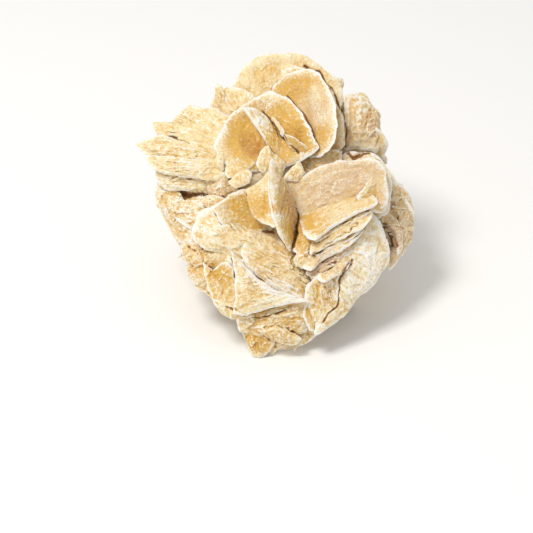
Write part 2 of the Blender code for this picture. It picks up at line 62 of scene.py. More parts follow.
# Each petal's place, turn, thickness and outline, in millimetres on the face, with the outline
# anticlockwise. They follow the part's source, with a few edges finer and two sheets more.
PETALS = [
    Petal("back_crown", -9, 0, 10, 2.6, 1.5, [
        (25, 93), (22.5, 99), (19, 102), (14.5, 105.5), (11, 108), (5.5, 108.5), (-3, 108),
        (-7.5, 106), (-12, 101.5), (-14.5, 96.5), (-16, 93), (-13.5, 80), (-5, 70), (9, 68.5),
        (21, 77)]),
    Petal("crown_layer", -2, -25, 5, 1.6, 0.5, [
        (25, 75), (24.5, 80.5), (24, 86), (21.5, 90), (21, 93.5), (18, 97.5), (14.5, 101.5),
        (10, 102.5), (7, 103.5), (3, 102), (-0.5, 98.5), (-4, 93.5), (-3, 84), (4, 73.5),
        (12.5, 67), (19, 69.5), (22, 72)]),
    Petal("crown_right", 3, -35, 5, 1.8, 2, [
        (21, 75.5), (22, 81), (21.5, 87), (20.5, 91.5), (18, 96), (16, 99.5), (13.5, 101.5),
        (9.5, 102), (5, 100.5), (1.5, 98), (-1.5, 94), (-0.5, 84), (5.5, 75.5), (11, 70.5),
        (15.5, 70.5), (19, 72.5)]),
    Petal("crown_front", 6, -5, 10, 1.8, 5, [
        (15.5, 74), (13.5, 78.5), (11, 83.5), (8, 88), (4, 91.5), (-1.5, 93.5), (-6.5, 91.5),
        (-11, 88.5), (-15, 85.5), (-18, 80.5), (-20.5, 76), (-20.5, 73), (-18, 68.5),
        (-10, 65), (0.5, 66), (9, 69), (13, 71)]),
    Petal("crown_ridge", 9.4, 32, 6, 2.2, 0, [
        (-11, 88), (-9.5, 85.5), (-7, 82), (-4.2, 78), (-1.4, 72.5), (4, 68), (9, 69.5),
        (6.5, 73.5), (3, 77.5), (0, 81.5), (-3, 85.2), (-7, 87.5)]),
    Petal("crown_flake", 9.5, -30, 0, 0.9, 0, [
        (0, 84.5), (-1, 83.5), (0.5, 80.5), (3, 77.5), (3.5, 79.5), (2, 82.5)]),
    Petal("crown_fin", 11, 0, -40, 0.8, 0, [
        (3, 78.5), (5.5, 73.5), (11, 70.5), (13.5, 72), (11.5, 74), (7.5, 77)]),
    Petal("waist_notch", 11, 10, 10, 1.2, 0, [(3, 63), (8.5, 69.5), (11, 65), (7.5, 62)]),
    Petal("waist_right", 4, -5, -10, 2, 0, [
        (2, 62), (12, 62), (22, 66), (24, 73), (16, 73.5), (8, 71)]),
    Petal("lap_plate", 8, -10, 20, 1.5, 0, [
        (-17, 70.5), (-17, 66.5), (-16, 63), (-12.5, 63.5), (-9, 66), (-6.5, 68.5), (-7.5, 70.5),
        (-12, 72.5)]),
    Petal("lap_flake", 12, -10, 5, 2, 0, [
        (-16, 62), (-13.5, 59.5), (-12, 60), (-8.5, 61.5), (-7.5, 64.5), (-9, 66.5), (-12.5, 65)]),
    Petal("waist_lump", 11, 10, -5, 2.6, 0, [
        (-6.5, 68.5), (-4, 64.5), (-0.5, 63), (3, 63.5), (4, 68.5), (0, 72), (-2, 75), (-4, 73.5)]),
    Petal("rim_wedge", 7, -20, 0, 1.5, 0, [
        (-21.5, 69), (-21, 66.5), (-17.5, 66), (-17, 69.5), (-17.5, 72.5), (-19.5, 72)]),
    Petal("fan_top", -2, -15, 15, 2.6, 0, [
        (-43.5, 83.5), (-41.5, 79), (-36.5, 75), (-26, 70), (-14, 70), (-12, 82.5),
        (-18, 87), (-21, 88.5), (-24, 88), (-29.5, 90), (-31.5, 88.5), (-34, 86), (-36.5, 83),
        (-40, 82.5)]),
    Petal("fan_spike", -5, -10, 0, 1.4, 0, [
        (-21.5, 88.5), (-18, 85), (-17, 93), (-18.5, 96.5), (-20.5, 97.5), (-21, 92.5)]),
    Petal("fan_crown", -5, -15, 10, 2.4, 0, [
        (-24, 86), (-22, 78), (-14, 76), (-6, 84), (-7, 93), (-15.5, 96.5), (-20, 94)]),
    Petal("fan_middle", 2, -3, 15, 2.4, 0, [
        (-49, 75.5), (-47, 73), (-44.5, 70.5), (-38, 67), (-27, 64), (-16, 64), (-16, 71),
        (-26, 74.5), (-33, 77), (-39, 79), (-43.5, 77.5), (-46, 77)]),
    Petal("fan_low", 5.5, -4, 0, 2, 0, [
        (-44.5, 69), (-42, 66.5), (-38, 65), (-31, 63.5), (-24, 63), (-16, 62), (-17, 69.5),
        (-21.5, 70), (-31, 70.5), (-40, 71.5), (-44.5, 71.5)]),
    Petal("fan_under", 2, -6, -15, 2, 0, [
        (-41.5, 67), (-41.5, 64), (-40.5, 61.5), (-36.5, 59), (-29.5, 59), (-24, 57.5), (-18, 58),
        (-18, 65), (-31, 67), (-38, 68)]),
    Petal("fan_root", 5, -15, -10, 2.2, 0, [
        (-24, 63), (-22.5, 56.5), (-16, 56), (-12, 59), (-14.5, 61.5), (-18, 66)]),
    Petal("left_shelf", 5, -20, 10, 2, 0, [
        (-26, 56.5), (-28.5, 54), (-27.5, 51), (-24, 52), (-19, 53), (-16, 56), (-20.5, 58)]),
    Petal("left_wall", 0, -30, 0, 2.4, 0.5, [
        (-40.5, 63.5), (-42, 59.5), (-41, 55), (-38, 51), (-35.5, 47.5), (-34.5, 42.5),
        (-32, 40.5), (-26.5, 40), (-24, 44), (-23, 51), (-25, 56), (-31, 56), (-33, 59),
        (-37, 62)]),
    Petal("left_lining", -4, -35, 0, 2, 0, [
        (-41, 61), (-42, 55), (-38.5, 49.5), (-36, 44), (-32.5, 39), (-26, 38), (-22, 48),
        (-26, 60), (-34, 64)]),
    Petal("left_step", 3, -25, -5, 2.4, 0.5, [
        (-32.5, 40.5), (-31.5, 35.5), (-29.5, 33.5), (-31, 31.5), (-30, 29.5), (-27, 25),
        (-24, 23.5), (-20, 20), (-14, 26), (-15, 38), (-22, 44), (-27.5, 43)]),
    Petal("honey_hollow", 8, 12, -8, 1.4, 2, [
        (-21.5, 53), (-17, 46), (-8.5, 42), (-0.5, 42), (0.5, 47.5), (-6.5, 54), (-9, 59.5),
        (-11.5, 59.5), (-15, 58), (-18.5, 55.5)]),
    Petal("left_petal", 8, 0, 0, 3.4, 0, [
        (-28.5, 42), (-24, 38.5), (-17, 36.5), (-10, 32), (-1.5, 27), (4, 34.5), (2, 40.5),
        (-2, 44), (-8.5, 46), (-13.5, 50), (-18, 54.5), (-24, 53), (-27, 50), (-28.5, 46)]),
    Petal("heart_floor", 9, 10, 10, 2.4, 0, [
        (4, 44), (-5, 46), (-12, 40), (-10, 33), (-4, 28), (4, 22), (11, 20), (16, 24),
        (13, 31), (10, 38)]),
    Petal("heart_facet", 10.7, -5, 12, 2, 0, [
        (8.5, 50.5), (8, 44), (6.5, 38.5), (9, 36), (15, 40), (20, 45), (22, 51), (16, 53)]),
    Petal("heart_knuckle", 12, -10, 0, 2.2, 0, [
        (6.5, 35.5), (7.5, 33), (10, 32), (13.5, 34), (14, 38), (10, 39)]),
    Petal("heart_petal", 13, -25, 5, 1.6, 0.5, [
        (-10, 59.5), (-9.5, 57), (-9, 53), (-7.5, 50), (-4, 47.5), (0.5, 46), (1.5, 54.5),
        (0.5, 61.5), (-1.5, 66), (-5.5, 62)]),
    Petal("heart_spike", 17, 55, 0, 2, 0, [
        (-1, 70), (-2, 63), (-1.5, 56), (-0.5, 49.5), (1.5, 44), (3.5, 40.5), (5.5, 38),
        (6.5, 42), (5.5, 50), (3.5, 58), (1.5, 66)]),
    Petal("spike_side", 15, 63, -5, 2.2, 0, [
        (-1, 69), (-1.2, 60), (0.8, 48), (4.5, 39), (7, 42), (8, 47.5), (7.5, 51), (5.5, 56),
        (3, 62.5)]),
    Petal("right_petal", 9, 0, -5, 2.4, 1, [
        (3, 62.5), (6.5, 55.5), (9, 49.5), (16, 51), (25, 52), (35.5, 52), (39.5, 54.5),
        (39.5, 59.5), (38.5, 65), (37, 69), (33.5, 70.5), (27.5, 69.5), (21.5, 69.5),
        (14.5, 67), (9, 63.5)]),
    Petal("right_fold", 9.6, 30, 0, 1, 0, [
        (35.5, 69), (34, 65), (31, 60.5), (28.5, 57), (30.5, 53), (37, 51), (40, 54.5),
        (40, 59.5), (38.5, 65)]),
    Petal("right_layer", 3, 5, 5, 2, 0, [
        (20.5, 70), (21.5, 65), (25, 56), (33.5, 49), (40, 51), (41, 58), (41, 64), (39, 68.5),
        (36, 72), (32, 73), (25, 72.5)]),
    Petal("stack_top", 13, -18, 40, 1.8, 0, [
        (9, 48.5), (11, 42.5), (14, 41.5), (19, 45.5), (25, 49), (31, 52), (35.5, 54), (35.5, 56.5),
        (33.5, 58), (30, 57), (25, 56), (20.5, 54.5), (14.5, 53)]),
    Petal("stack_middle", 13, -16, 35, 1.8, 0, [
        (12.5, 41), (12, 36.5), (15.5, 38), (19.5, 40.5), (26, 43.5), (31, 46), (34, 49.5),
        (33.5, 53), (27.5, 51), (21.5, 48), (15.5, 45)]),
    Petal("stack_sheet", 12.5, -16, 38, 1.2, 0, [
        (12, 43.5), (14.5, 41), (21, 44.5), (28, 48), (33.5, 51.5), (34, 54), (28, 52.5),
        (21, 49.5), (14, 46)]),
    Petal("stack_lower_sheet", 12, -14, 33, 1.2, 0, [
        (12.5, 37.5), (15, 36), (21, 39), (28, 43), (32.5, 47.5), (30, 49), (23, 46),
        (15.5, 41.5)]),
    Petal("stack_groove", 10, 0, 10, 2, 0, [
        (11, 30), (14, 27), (18, 29), (24, 34), (28, 38), (25, 42), (18, 40), (12, 36)]),
    Petal("stack_low", 12, -14, 30, 1.8, 0, [
        (10, 32), (12.5, 31), (16, 34.5), (22.5, 37.5), (27.5, 41), (31.5, 45.5), (27.5, 46),
        (21.5, 44), (15.5, 41), (11, 37)]),
    Petal("skirt_blade", 13, 0, 35, 1.2, 0, [
        (14.5, 29), (17, 27), (21.5, 29.5), (25.5, 32), (26.5, 34.5), (24, 34.5), (19.5, 32)]),
    Petal("skirt_plate", 10.6, 10, -10, 2.2, 0.5, [
        (26.5, 35), (21.5, 33), (15.5, 30), (11, 26.5), (10, 21), (10, 16), (12, 10.5),
        (15.5, 10.5), (17, 13.5), (19.5, 17), (21, 20.5), (21.5, 24), (22, 28), (24.5, 31.5)]),
    Petal("skirt_right", 7, 20, -5, 2.6, 0.5, [
        (34, 52), (29.5, 47.5), (23, 40.5), (17, 28), (15.5, 17.5), (13.5, 9.5), (15.5, 9),
        (19.5, 12), (24, 15), (26.5, 18), (29, 21.5), (32.5, 24), (35.5, 27), (38, 31),
        (40, 34), (40.5, 38.5), (39, 43.5), (37, 48.5)]),
    Petal("lip_blade", 15, 0, -10, 2.6, 0.5, [
        (-15, 38.5), (-14, 33), (-13.5, 28.5), (-13.5, 22), (-14.5, 16.5), (-10, 15.5),
        (-5, 17), (2, 19), (12, 21), (7, 22.8), (0.5, 24.7), (-5, 28.5), (-9, 32), (-12.5, 36)]),
    Petal("lip_hollow", 8, -5, 0, 1.6, 1.5, [
        (-25, 34.5), (-24, 29), (-23, 24.5), (-20.5, 20.5), (-16, 19.5), (-12.5, 21),
        (-13.5, 26.5), (-14, 32), (-17, 34.5), (-21.5, 32)]),
    Petal("lip_toe", 9, -5, -20, 2.6, 0, [
        (-21.5, 21.5), (-20.5, 19), (-18, 16), (-14.5, 14.5), (-10, 15.5), (-9, 17), (-12, 21),
        (-16, 20.5)]),
    Petal("toe_ledge", 9, 0, -20, 2.4, 0, [
        (-13.5, 16), (-12, 10), (-4, 8), (4, 8), (11, 10), (14, 17), (11, 21.5),
        (4, 20), (-3, 19), (-8.5, 18)]),
    Petal("toe_step", 9, 0, -20, 2.2, 0, [
        (-6.5, 11.5), (-4, 9), (2, 6), (8, 5.5), (10, 7.5), (5.5, 11), (2, 13.5), (-3, 13.5)]),
    Petal("toe_plate", 5, -10, -10, 2.4, 0, [
        (-11.5, 15.5), (-11, 9), (-9.5, 5.5), (-7.5, 1), (-5, 0.5), (-1, 3), (1, 8), (-2, 13),
        (-8.5, 16)]),
    Petal("toe_crust", 3, 0, -10, 3, 0, [
        (-5, 5), (-1.5, 1.5), (2, 4), (5.5, 5), (10, 5), (13.5, 7.5), (16, 11), (12, 15),
        (4, 14), (-3, 11)]),
    Petal("shoulder_knob", -7, 20, 10, 4.5, 0, [
        (25, 93), (24.5, 86), (24, 79), (25, 73.5), (30, 74), (36, 72.5), (37.5, 76), (38, 80),
        (37, 83.5), (38, 86), (35.5, 89), (32.5, 93), (28.5, 94)]),
    Petal("shoulder_chip", -10, 20, 20, 2.4, 0, [
        (27.5, 94), (29.5, 91.5), (32, 89.5), (34.5, 89.5), (33.5, 92), (31, 94.5)]),
    Petal("crown_bit", -10, 0, 0, 2.4, 0, [
        (18, 99), (18, 92), (24, 93), (25, 96.5), (24, 99.5)]),
    Petal("side_plate", -5, 25, 0, 2.8, 0, [
        (40.5, 63), (40, 56), (36, 51), (37, 44), (41.5, 38.5), (39, 34.5), (40.5, 31),
        (43, 34), (45.5, 37), (48, 40.5), (49.5, 45.5), (49.5, 52.5), (48, 58), (44, 62.5)]),
    Petal("side_ledge", -1, 20, 0, 2, 0, [
        (36.5, 52), (37, 48.5), (40.5, 46), (43, 42), (43, 36.5), (45, 38.5), (45.5, 44),
        (43.5, 48.5), (40, 52)]),
]

# Rosettes of petals that cover the back, the sides and the underside, in the standing rose.
ROSETTES = [
    Rosette("top_back", 4, 30, 55, 180, 15, 7, 21),
    Rosette("middle_back", -6, 28, 38, 185, 5, 7, 26),
    Rosette("left_back", -20, 19, 38, 235, 5, 6, 20),
    Rosette("right_back", 19, 20, 37, 140, 0, 6, 20),
    Rosette("low_right", 22, 6, 18, 105, -15, 6, 19),
    Rosette("low_left", -14, 4, 18, 255, -15, 6, 16),
    Rosette("low_back", 4, 24, 14, 180, -15, 7, 22),
    Rosette("sole", 2, 6, 8, 0, -90, 8, 24),
    Rosette("chin", 1, -14, 10, 0, -60, 5, 16),
    Rosette("left_side", -22, -2, 30, 290, -15, 5, 15),
    Rosette("right_side", 27, -4, 28, 75, -20, 5, 15),
    Rosette("knob_side", 27, 23, 52, 120, 10, 6, 15),
    Rosette("side_back", 34, 10, 33, 120, 0, 6, 15),
]

# The sandy middles in the standing rose, then those on the face.
CORES = [
    Core("trunk_core", 2, 9, 34, 25, 19, 26),
    Core("crown_core", 3, 22, 54, 16, 10, 16),
    Core("fan_core", -18, 12, 45, 14, 10, 13),
    Core("right_core", 20, 6, 38, 15, 12, 15),
    Core("side_core", 33, 6, 31, 9, 8, 12),
    Core("toe_core", 1, -16, 10, 13, 11, 11),
    Core("heel_core", 2, 14, 14, 18, 14, 13),
]

FACE_CORES = [
    Core("crown_root", -3, 79, -3, 12, 9, 10),
    Core("waist_root", 0, 65, -1, 13, 8, 10),
    Core("heart_root", 6, 46, -1, 16, 12, 10),
    Core("skirt_root", 18, 32, -2, 14, 14, 9),
    Core("lip_root", -5, 24, 1, 10, 7, 12),
    Core("toe_root", 1, 12, -2, 12, 10, 9),
    Core("left_root", -25, 50, -6, 9, 13, 7),
    Core("fan_base", -25, 70, -4, 12, 9, 7),
    Core("knob_root", 29, 82, -13, 9, 11, 8),
    Core("side_root", 37, 54, -10, 9, 10, 8),
    Core("right_root", 22, 60, -2, 13, 9, 9),
]

# How far apart the points of a crystal's mesh lie, in mm, and the fewest that it has around its
# rim and from its rim to its middle.
COARSER = 1
FRONT_STEP = 0.47 * COARSER
BACK_STEP = 1.05 * COARSER
CORE_STEP = 1.6 * COARSER
FEWEST_AROUND = 12
FEWEST_ACROSS = 4
RIM_SAMPLES = 48
ROSETTE_SEGMENTS = 12
CORE_SEGMENTS = 10

# How full a lens is: 1 for a petal that thins evenly, less for a blunt middle.
PETAL_FULLNESS = 1.0
CORE_FULLNESS = 0.7

# A rosette's petals: how unevenly they are spread, how far each leans out in degrees, and its
# length and width, its rim's raggedness, its thickness and its cup as shares of one another.
SPREAD = (-0.25, 0.25)
OPENING = (50, 85)
EDGE_ON = 15
PETAL_LENGTH = (0.55, 0.7)
PETAL_WIDTH = (0.75, 1.05)
PETAL_RIM = (0.9, 1.06)
PETAL_THICK = (0.14, 0.2)
PETAL_OUT = 0.7
PETAL_CUP = 0.1

# The relief of a crystal in mm, with the distance from one bump to the next as its period.
EDGE_THICK = 0.22
RAGGED, RAGGED_PERIOD = 0.6, 3.5
CHIPPED, CHIPPED_PERIOD = 0.5, 1.4
LUMPS, LUMPS_PERIOD = 0.35, 4.5
GRAINS, GRAINS_PERIOD = 0.8, 1.9
FINE_GRAINS, FINE_GRAINS_PERIOD = 0.7, 1.0
FIBRE_HEIGHT = 0.4
FIBRE_SPACING = 1.5
FIBRE_LENGTH = 6
FIBRE_CROWN = 0.75
FIBRE_GROOVE = 1.6
FINE_FIBRES = 2.2
SHORTEST_SPAN = 8

# How angular a rim is from 0 to 1, and how strongly a petal is stepped, with the steps' waviness.
ANGULAR = 0.6
TERRACED = 0.8
TERRACE_WANDER, TERRACE_PERIOD = 0.08, 4

# The width of an angular facet in mm and as a share of its petal, and how long and steep it is.
FACET_WIDTH = 4.2
FACET_SHARE = 0.45
FACET_LENGTHENED = 1.8
FACET_SLOPE = 0.2
FACET_RISE = 0.35
FACET_SEED = 17

# How far a cleft wanders sideways and up, in mm, and how far off a petal's rim one still counts.
CLEFT_WANDER = (0.9, 0.7)
CLEFT_PERIOD = 2
CLEFT_MARGIN = 8

# A rim is this white, as frost and as painted highlight, in a band as narrow as its power. Honey
# fades by a share at the rim.
RIM_FROST, RIM_FROST_POWER = 1.3, 14
HONEY_FADE = 0.6
FLOOR_BLOCK = 200

# A flake's half length, its width and thickness, how steeply it rises in degrees, how far it turns
# out of the fibres, where on its petal it lies, how chipped its rim is, how white it is, and the
# share of flakes on the side of the petal that faces outwards.
FLAKE_LENGTH = (1.4, 3.4)
FLAKE_WIDTH = (0.15, 0.4)
FLAKE_THICK = (0.25, 0.4)
FLAKE_LIFT = (0, 12)
FLAKE_TURN = 0.3
FLAKE_REACH = (0.02, 0.6)
FLAKE_CHIPS = (0.75, 1.15)
FLAKE_SEGMENTS = 10
FLAKE_RINGS = 4
FLAKE_FROST = -0.15
FLAKES_IN_FRONT = 0.8

# What each point of a crystal keeps for the material, and whether it has been given that yet.
FINISH_LAYERS = ("frost", "honey", "dusk", "hill", "cleft", "grown")

# Which petals and middles make up each piece, by how their names start.
PIECES = {
    "crown_petals": ("back_crown", "crown_", "waist_", "shoulder_", "knob_root"),
    "left_petals": ("fan_", "left_", "rim_wedge", "lap_"),
    "heart_petals": ("honey_hollow", "heart_", "spike_side", "left_petal", "lip_", "toe_"),
    "right_petals": ("right_", "stack_", "skirt_", "side_"),
}

# Honey is how amber and clear the petal is, frost how white its rim is, dusk how much sandy grain
# it holds. Fibres, layers and facets are how strongly it is ribbed, how many growth terraces show
# and how angular its face is. Flakes is how many small plates lie on a square centimetre of it.
DEFAULT_FINISH = Finish(0.35, 0.4, 0.15, 0.6, 4, 0.7, 0.6)
FINISHES = {
    "back_crown": Finish(0.3, 0.3, 0.0, 0.4, 3, 0.3, 0),
    "crown_layer": Finish(0.25, 0.5, 0.1, 0.4, 5, 0.5, 0),
    "crown_right": Finish(0.55, 0.9, 0.25, 0.1, 3, 0.25, 0),
    "crown_front": Finish(0.85, 1.0, 0.05, 0.15, 2, 0.35, 0),
    "crown_ridge": Finish(0.65, 0.6, 0.15, 0.5, 3, 0.4, 0),
    "crown_flake": Finish(0.35, 0.6, 0.3, 0.2, 2, 0.4, 0),
    "crown_fin": Finish(0.6, 0.9, 0.1, 0.2, 2, 0.3, 0),
    "fan_top": Finish(0.2, 0.5, 0.0, 0.85, 4, 0.5, 1.2),
    "fan_spike": Finish(0.2, 0.5, 0.1, 0.8, 2, 0.4, 1.0),
    "fan_crown": Finish(0.25, 0.4, 0.0, 0.8, 3, 0.5, 1.0),
    "fan_middle": Finish(0.25, 0.7, 0.05, 0.85, 4, 0.5, 1.2),
    "fan_low": Finish(0.25, 0.8, 0.05, 0.85, 3, 0.6, 1.2),
    "fan_under": Finish(0.2, 0.6, 0.15, 0.85, 3, 0.6, 1.2),
    "fan_root": Finish(0.15, 0.4, 0.6, 0.8, 3, 0.9, 2.0),
    "left_shelf": Finish(0.35, 0.8, 0.3, 0.7, 3, 1.0, 0.5),
    "left_wall": Finish(0.6, 0.7, 0.4, 0.7, 5, 1.0, 1.0),
    "left_step": Finish(0.5, 0.8, 0.35, 0.7, 5, 1.0, 1.0),
    "honey_hollow": Finish(0.45, 0.6, 0.0, 0.3, 2, 0.5, 0),
    "left_petal": Finish(0.3, 0.8, 0.15, 0.8, 5, 0.6, 0.7),
    "heart_floor": Finish(0.4, 0.3, 0.3, 1.0, 4, 0.7, 1.5),
    "heart_facet": Finish(0.7, 0.5, 0.1, 0.4, 3, 0.8, 0),
    "heart_knuckle": Finish(0.3, 0.7, 0.2, 0.4, 3, 0.9, 0),
    "heart_petal": Finish(0.35, 0.6, 0.05, 0.3, 3, 0.5, 0),
    "heart_spike": Finish(0.7, 0.8, 0.0, 0.6, 2, 0.2, 0),
    # Painted shade: spike_side, the shaded side of the spike, is painted deep honey and sandy with
    # little frost.
    "spike_side": Finish(1.0, 0.2, 0.4, 1.3, 2, 0.5, 0),
    "right_petal": Finish(0.35, 0.6, 0.5, 0.12, 3, 0.5, 0),
    "right_fold": Finish(0.35, 0.6, 0.3, 0.5, 3, 0.5, 0),
    "right_layer": Finish(0.1, 0.6, 0.4, 0.4, 5, 0.7, 0.5),
    "stack_top": Finish(0.4, 1.0, 0.1, 0.8, 4, 0.3, 0),
    "stack_middle": Finish(0.4, 0.9, 0.15, 0.9, 4, 0.3, 0),
    "stack_groove": Finish(0.2, 0.3, 0.8, 0.9, 3, 0.9, 2.5),
    "stack_low": Finish(0.35, 0.9, 0.2, 0.9, 4, 0.4, 0),
    "skirt_blade": Finish(0.45, 0.6, 0.2, 0.5, 2, 0.5, 0),
    "skirt_plate": Finish(0.45, 0.7, 0.3, 0.9, 4, 1.0, 0),
    "skirt_right": Finish(0.15, 0.9, 0.2, 0.5, 5, 0.6, 0),
    "lip_blade": Finish(0.15, 1.0, 0.0, 1.0, 4, 0.4, 0),
    "lip_hollow": Finish(0.6, 0.8, 0.1, 0.5, 3, 0.7, 0),
    "lip_toe": Finish(0.25, 0.9, 0.1, 0.5, 3, 0.8, 0),
    "toe_ledge": Finish(0.5, 0.4, 0.3, 0.9, 4, 0.8, 2.0),
    "toe_step": Finish(0.45, 0.6, 0.2, 0.7, 3, 0.8, 0.5),
    "toe_plate": Finish(0.5, 0.8, 0.2, 0.7, 3, 1.1, 0.5),
    "toe_crust": Finish(0.25, 0.9, 0.3, 0.7, 4, 1.1, 2.0),
    "shoulder_knob": Finish(0.35, 0.5, 0.5, 0.5, 4, 1.0, 1.5),
    "side_plate": Finish(0.35, 0.6, 0.5, 0.5, 5, 0.9, 2.5),
    "side_ledge": Finish(0.35, 0.6, 0.5, 0.5, 3, 0.8, 2.0),
}

# How much of its thickness in the tables a petal keeps here, where it is a thin plate.
THINNED_ELSEWHERE = 0.85
THINNED = {
    "stack_": 0.8,
    "heart_spike": 0.8,
    "skirt_plate": 0.55,
    "skirt_blade": 0.6,
    "heart_knuckle": 0.5,
    "waist_notch": 0.5,
    "waist_lump": 0.5,
    "lap_": 0.5,
    "crown_flake": 0.6,
    "crown_fin": 0.7,
    "crown_ridge": 0.6,
    "lip_blade": 0.7,
    "right_petal": 0.7,
    "left_petal": 0.8,
    "fan_": 0.8,
    **{rosette.name + "_": 0.7 for rosette in ROSETTES},
}

# Petals whose cupped rim flattens towards their foot, between these heights on the face.
FLATTENED = {"crown_front": (66, 84)}

# Where the fibres of a petal run together, as right and up on the face. Other petals' fibres
# start from where the petal joins the middle of the rose.
FIBRE_ROOTS = {
    "back_crown": (4, 55),
    "fan_": (-2, 66),
    "lip_blade": (70, 38),
    "left_petal": (30, 20),
    "heart_floor": (-40, 55),
    "stack_": (-30, 18),
    "skirt_plate": (6, 60),
    "skirt_right": (5, 45),
    "heart_spike": (3, 20),
    "spike_side": (3, 20),
    "toe_ledge": (60, 30),
}
HEART = (0, 46)

# Patches where the gypsum is clearer, whiter or sandier than the rest of its petal. Some paint a
# highlight white on a lit crest, and some paint shade on a side turned from the light.
SPOTS = [
    Spot(-11, 78, 4.5, 0.7, 0, 0),
    Spot(-7.5, 74, 4.5, 1.3, -0.3, 0.1),
    Spot(-1.5, 88, 3, 0.7, 0, 0),
    Spot(8, 78, 3, 0.6, 0, 0),
    Spot(34, 68, 3, 0.4, 0, 0),
    Spot(33, 82, 4, 0.4, 0, 0.2),
    Spot(29, 90, 4, 0, 0.3, 0),
    Spot(-18, 78, 3, -0.4, 0.2, 0),
    Spot(8, 82, 7, 0.5, 0, 0),
    Spot(6, 95, 4.5, 0.9, 0, 0),
    Spot(11, 97, 3.5, 0.5, 0, 0),
    Spot(15.5, 87, 6, -0.6, 0.1, 0.4),
    Spot(17, 77, 5, 0.5, 0, 0),
    Spot(-4, 101, 5, 0.5, 0, 0),
    Spot(-2, 89, 3, -0.4, 0.7, 0),
    Spot(-5, 84, 3, -0.3, 0.5, 0),
    Spot(-13, 54, 6, 0.5, 0, 0),
    Spot(-7, 51, 4, 0.6, 0, 0.3),
    Spot(-2.5, 53, 3, 0.6, 0, 0),
    Spot(-2, 54, 4, 0.4, 0, 0),
    Spot(-22, 50, 6, -0.3, 0.4, 0),
    Spot(-32, 52, 8, -0.2, 0.4, 0),
    Spot(-35, 70, 9, -0.1, 0.2, 0),
    Spot(10, 46, 5, 0.5, 0, 0),
    Spot(13, 48, 4, 0.4, 0, 0),
    Spot(28, 64, 7, -0.1, 0, 0.3),
    Spot(17, 58, 6, -0.1, 0.1, 0.3),
    Spot(34, 58, 4, 0.4, 0, 0),
    Spot(-9, 25, 5, 0.4, 0, 0),
    # Frost and painted highlight: the crest of lip_blade, where the key light falls, is painted
    # white.
    Spot(9, 22, 2.5, -0.3, 0.9, 0),
    Spot(5, 23, 2.5, -0.3, 0.9, 0),
    Spot(0, 24.5, 3, -0.3, 1.0, 0),
    Spot(-4, 27.5, 2.5, -0.3, 1.0, 0),
    Spot(-8, 31, 2.5, -0.3, 0.9, 0),
    Spot(-11, 34.5, 2, -0.3, 0.7, 0),
    # Frost and painted highlight along the lit left crest of heart_spike.
    Spot(-1.5, 60, 1.3, -0.3, 0.6, 0),
    Spot(-1, 55, 1.3, -0.3, 0.6, 0),
    Spot(0, 50, 1.3, -0.3, 0.6, 0),
    # Painted shade: the right side of heart_spike, turned away from the key light, is painted
    # deeper honey, less white and sandier.
    Spot(3.4, 57, 2.2, 1.1, -0.9, 0.15),
    Spot(4.6, 52, 2.6, 1.2, -1.0, 0.2),
    Spot(6, 46.5, 2.6, 1.2, -1.0, 0.2),
    # Frost and painted highlight along the lit crest of crown_ridge.
    Spot(-9.5, 86, 2, -0.3, 0.7, 0),
    Spot(-6, 82.5, 1.8, -0.3, 0.7, 0),
    Spot(-3.5, 79, 1.8, -0.3, 0.6, 0),
    Spot(33, 30, 6, -0.2, 0.4, 0),
    Spot(-20, 30, 4, 0.6, 0, 0),
    Spot(6, 14, 5, 0.4, 0, 0),
    Spot(-6, 7, 5, 0.6, 0, 0.1),
    Spot(30, 38, 8, -0.2, 0.5, 0),
    Spot(24, 24, 6, -0.1, 0.4, 0),
    Spot(18, 34, 5, 0, 0, 0.5),
    Spot(44, 49, 4, 0.4, 0, 0),
    Spot(40, 42, 5, 0, 0, 0.5),
]

# Clefts between petals, grooves that the material also paints dark brown as shade, as a width and
# depth in mm and a line of places on the face.
CLEFTS = [
    Cleft(0.42, 1.0, [
        (11, 103), (15.5, 101.5), (18.2, 97), (21.7, 92.5), (23, 88), (24.8, 84), (25, 75)]),
    Cleft(0.45, 0.8, [(5.5, 92), (10, 87), (13.5, 80.5), (15, 75.5)]),
    Cleft(0.4, 0.7, [(-3.5, 86), (0.5, 81.2), (3.5, 77), (9, 72)]),
    Cleft(0.4, 0.8, [(26.5, 35), (23.5, 31), (22, 28), (21.5, 21), (17, 13.5)]),
    Cleft(0.5, 0.7, [(15, 30.5), (18, 31.5), (21.5, 34.3)]),
    Cleft(0.8, 1.0, [(-31.5, 57.4), (-25.5, 58)]),
    Cleft(0.8, 0.8, [(-3.5, 45), (-0.5, 44.5)]),
    Cleft(0.7, 1.0, [(25.2, 73.5), (27.3, 70.7), (35.3, 72.8)]),
    Cleft(1.2, 1.0, [(38.5, 47.5), (41, 44), (43, 40)]),
    Cleft(0.4, 0.6, [(10.5, 36), (16, 38.5), (22, 42), (29, 47)]),
    Cleft(0.4, 0.6, [(-20, 20.5), (-14.5, 19), (-9, 15.5), (-3, 16), (4, 18)]),
    Cleft(0.4, 0.6, [(-6, 11), (1, 13), (7, 10.5)]),
    Cleft(0.35, 0.5, [(-30, 40), (-25, 37), (-22, 33)]),
]


def clefts_near(middle, reach):
    """The clefts that run over a petal with this middle and reach on the face."""
    spot = (ONTO_FACE @ middle).xy
    return [
        cleft
        for cleft in CLEFTS
        if any((Vector(place) - spot).length < reach + CLEFT_MARGIN for place in cleft.line)
    ]


def cleft_at(place, clefts):
    """How deep in one of the clefts a place on the face lies, in mm."""
    deepest = 0.0
    spot = place.xy
    for cleft in clefts:
        for start, end in zip(cleft.line, cleft.line[1:]):
            near, share = intersect_point_line(spot, start, end)
            if not 0 <= share <= 1:
                near = Vector(start if share < 0 else end)
            gone = (spot - near.xy).length_squared / cleft.width**2
            if gone < 5:
                deepest = max(deepest, cleft.depth * math.exp(-gone))
    return deepest


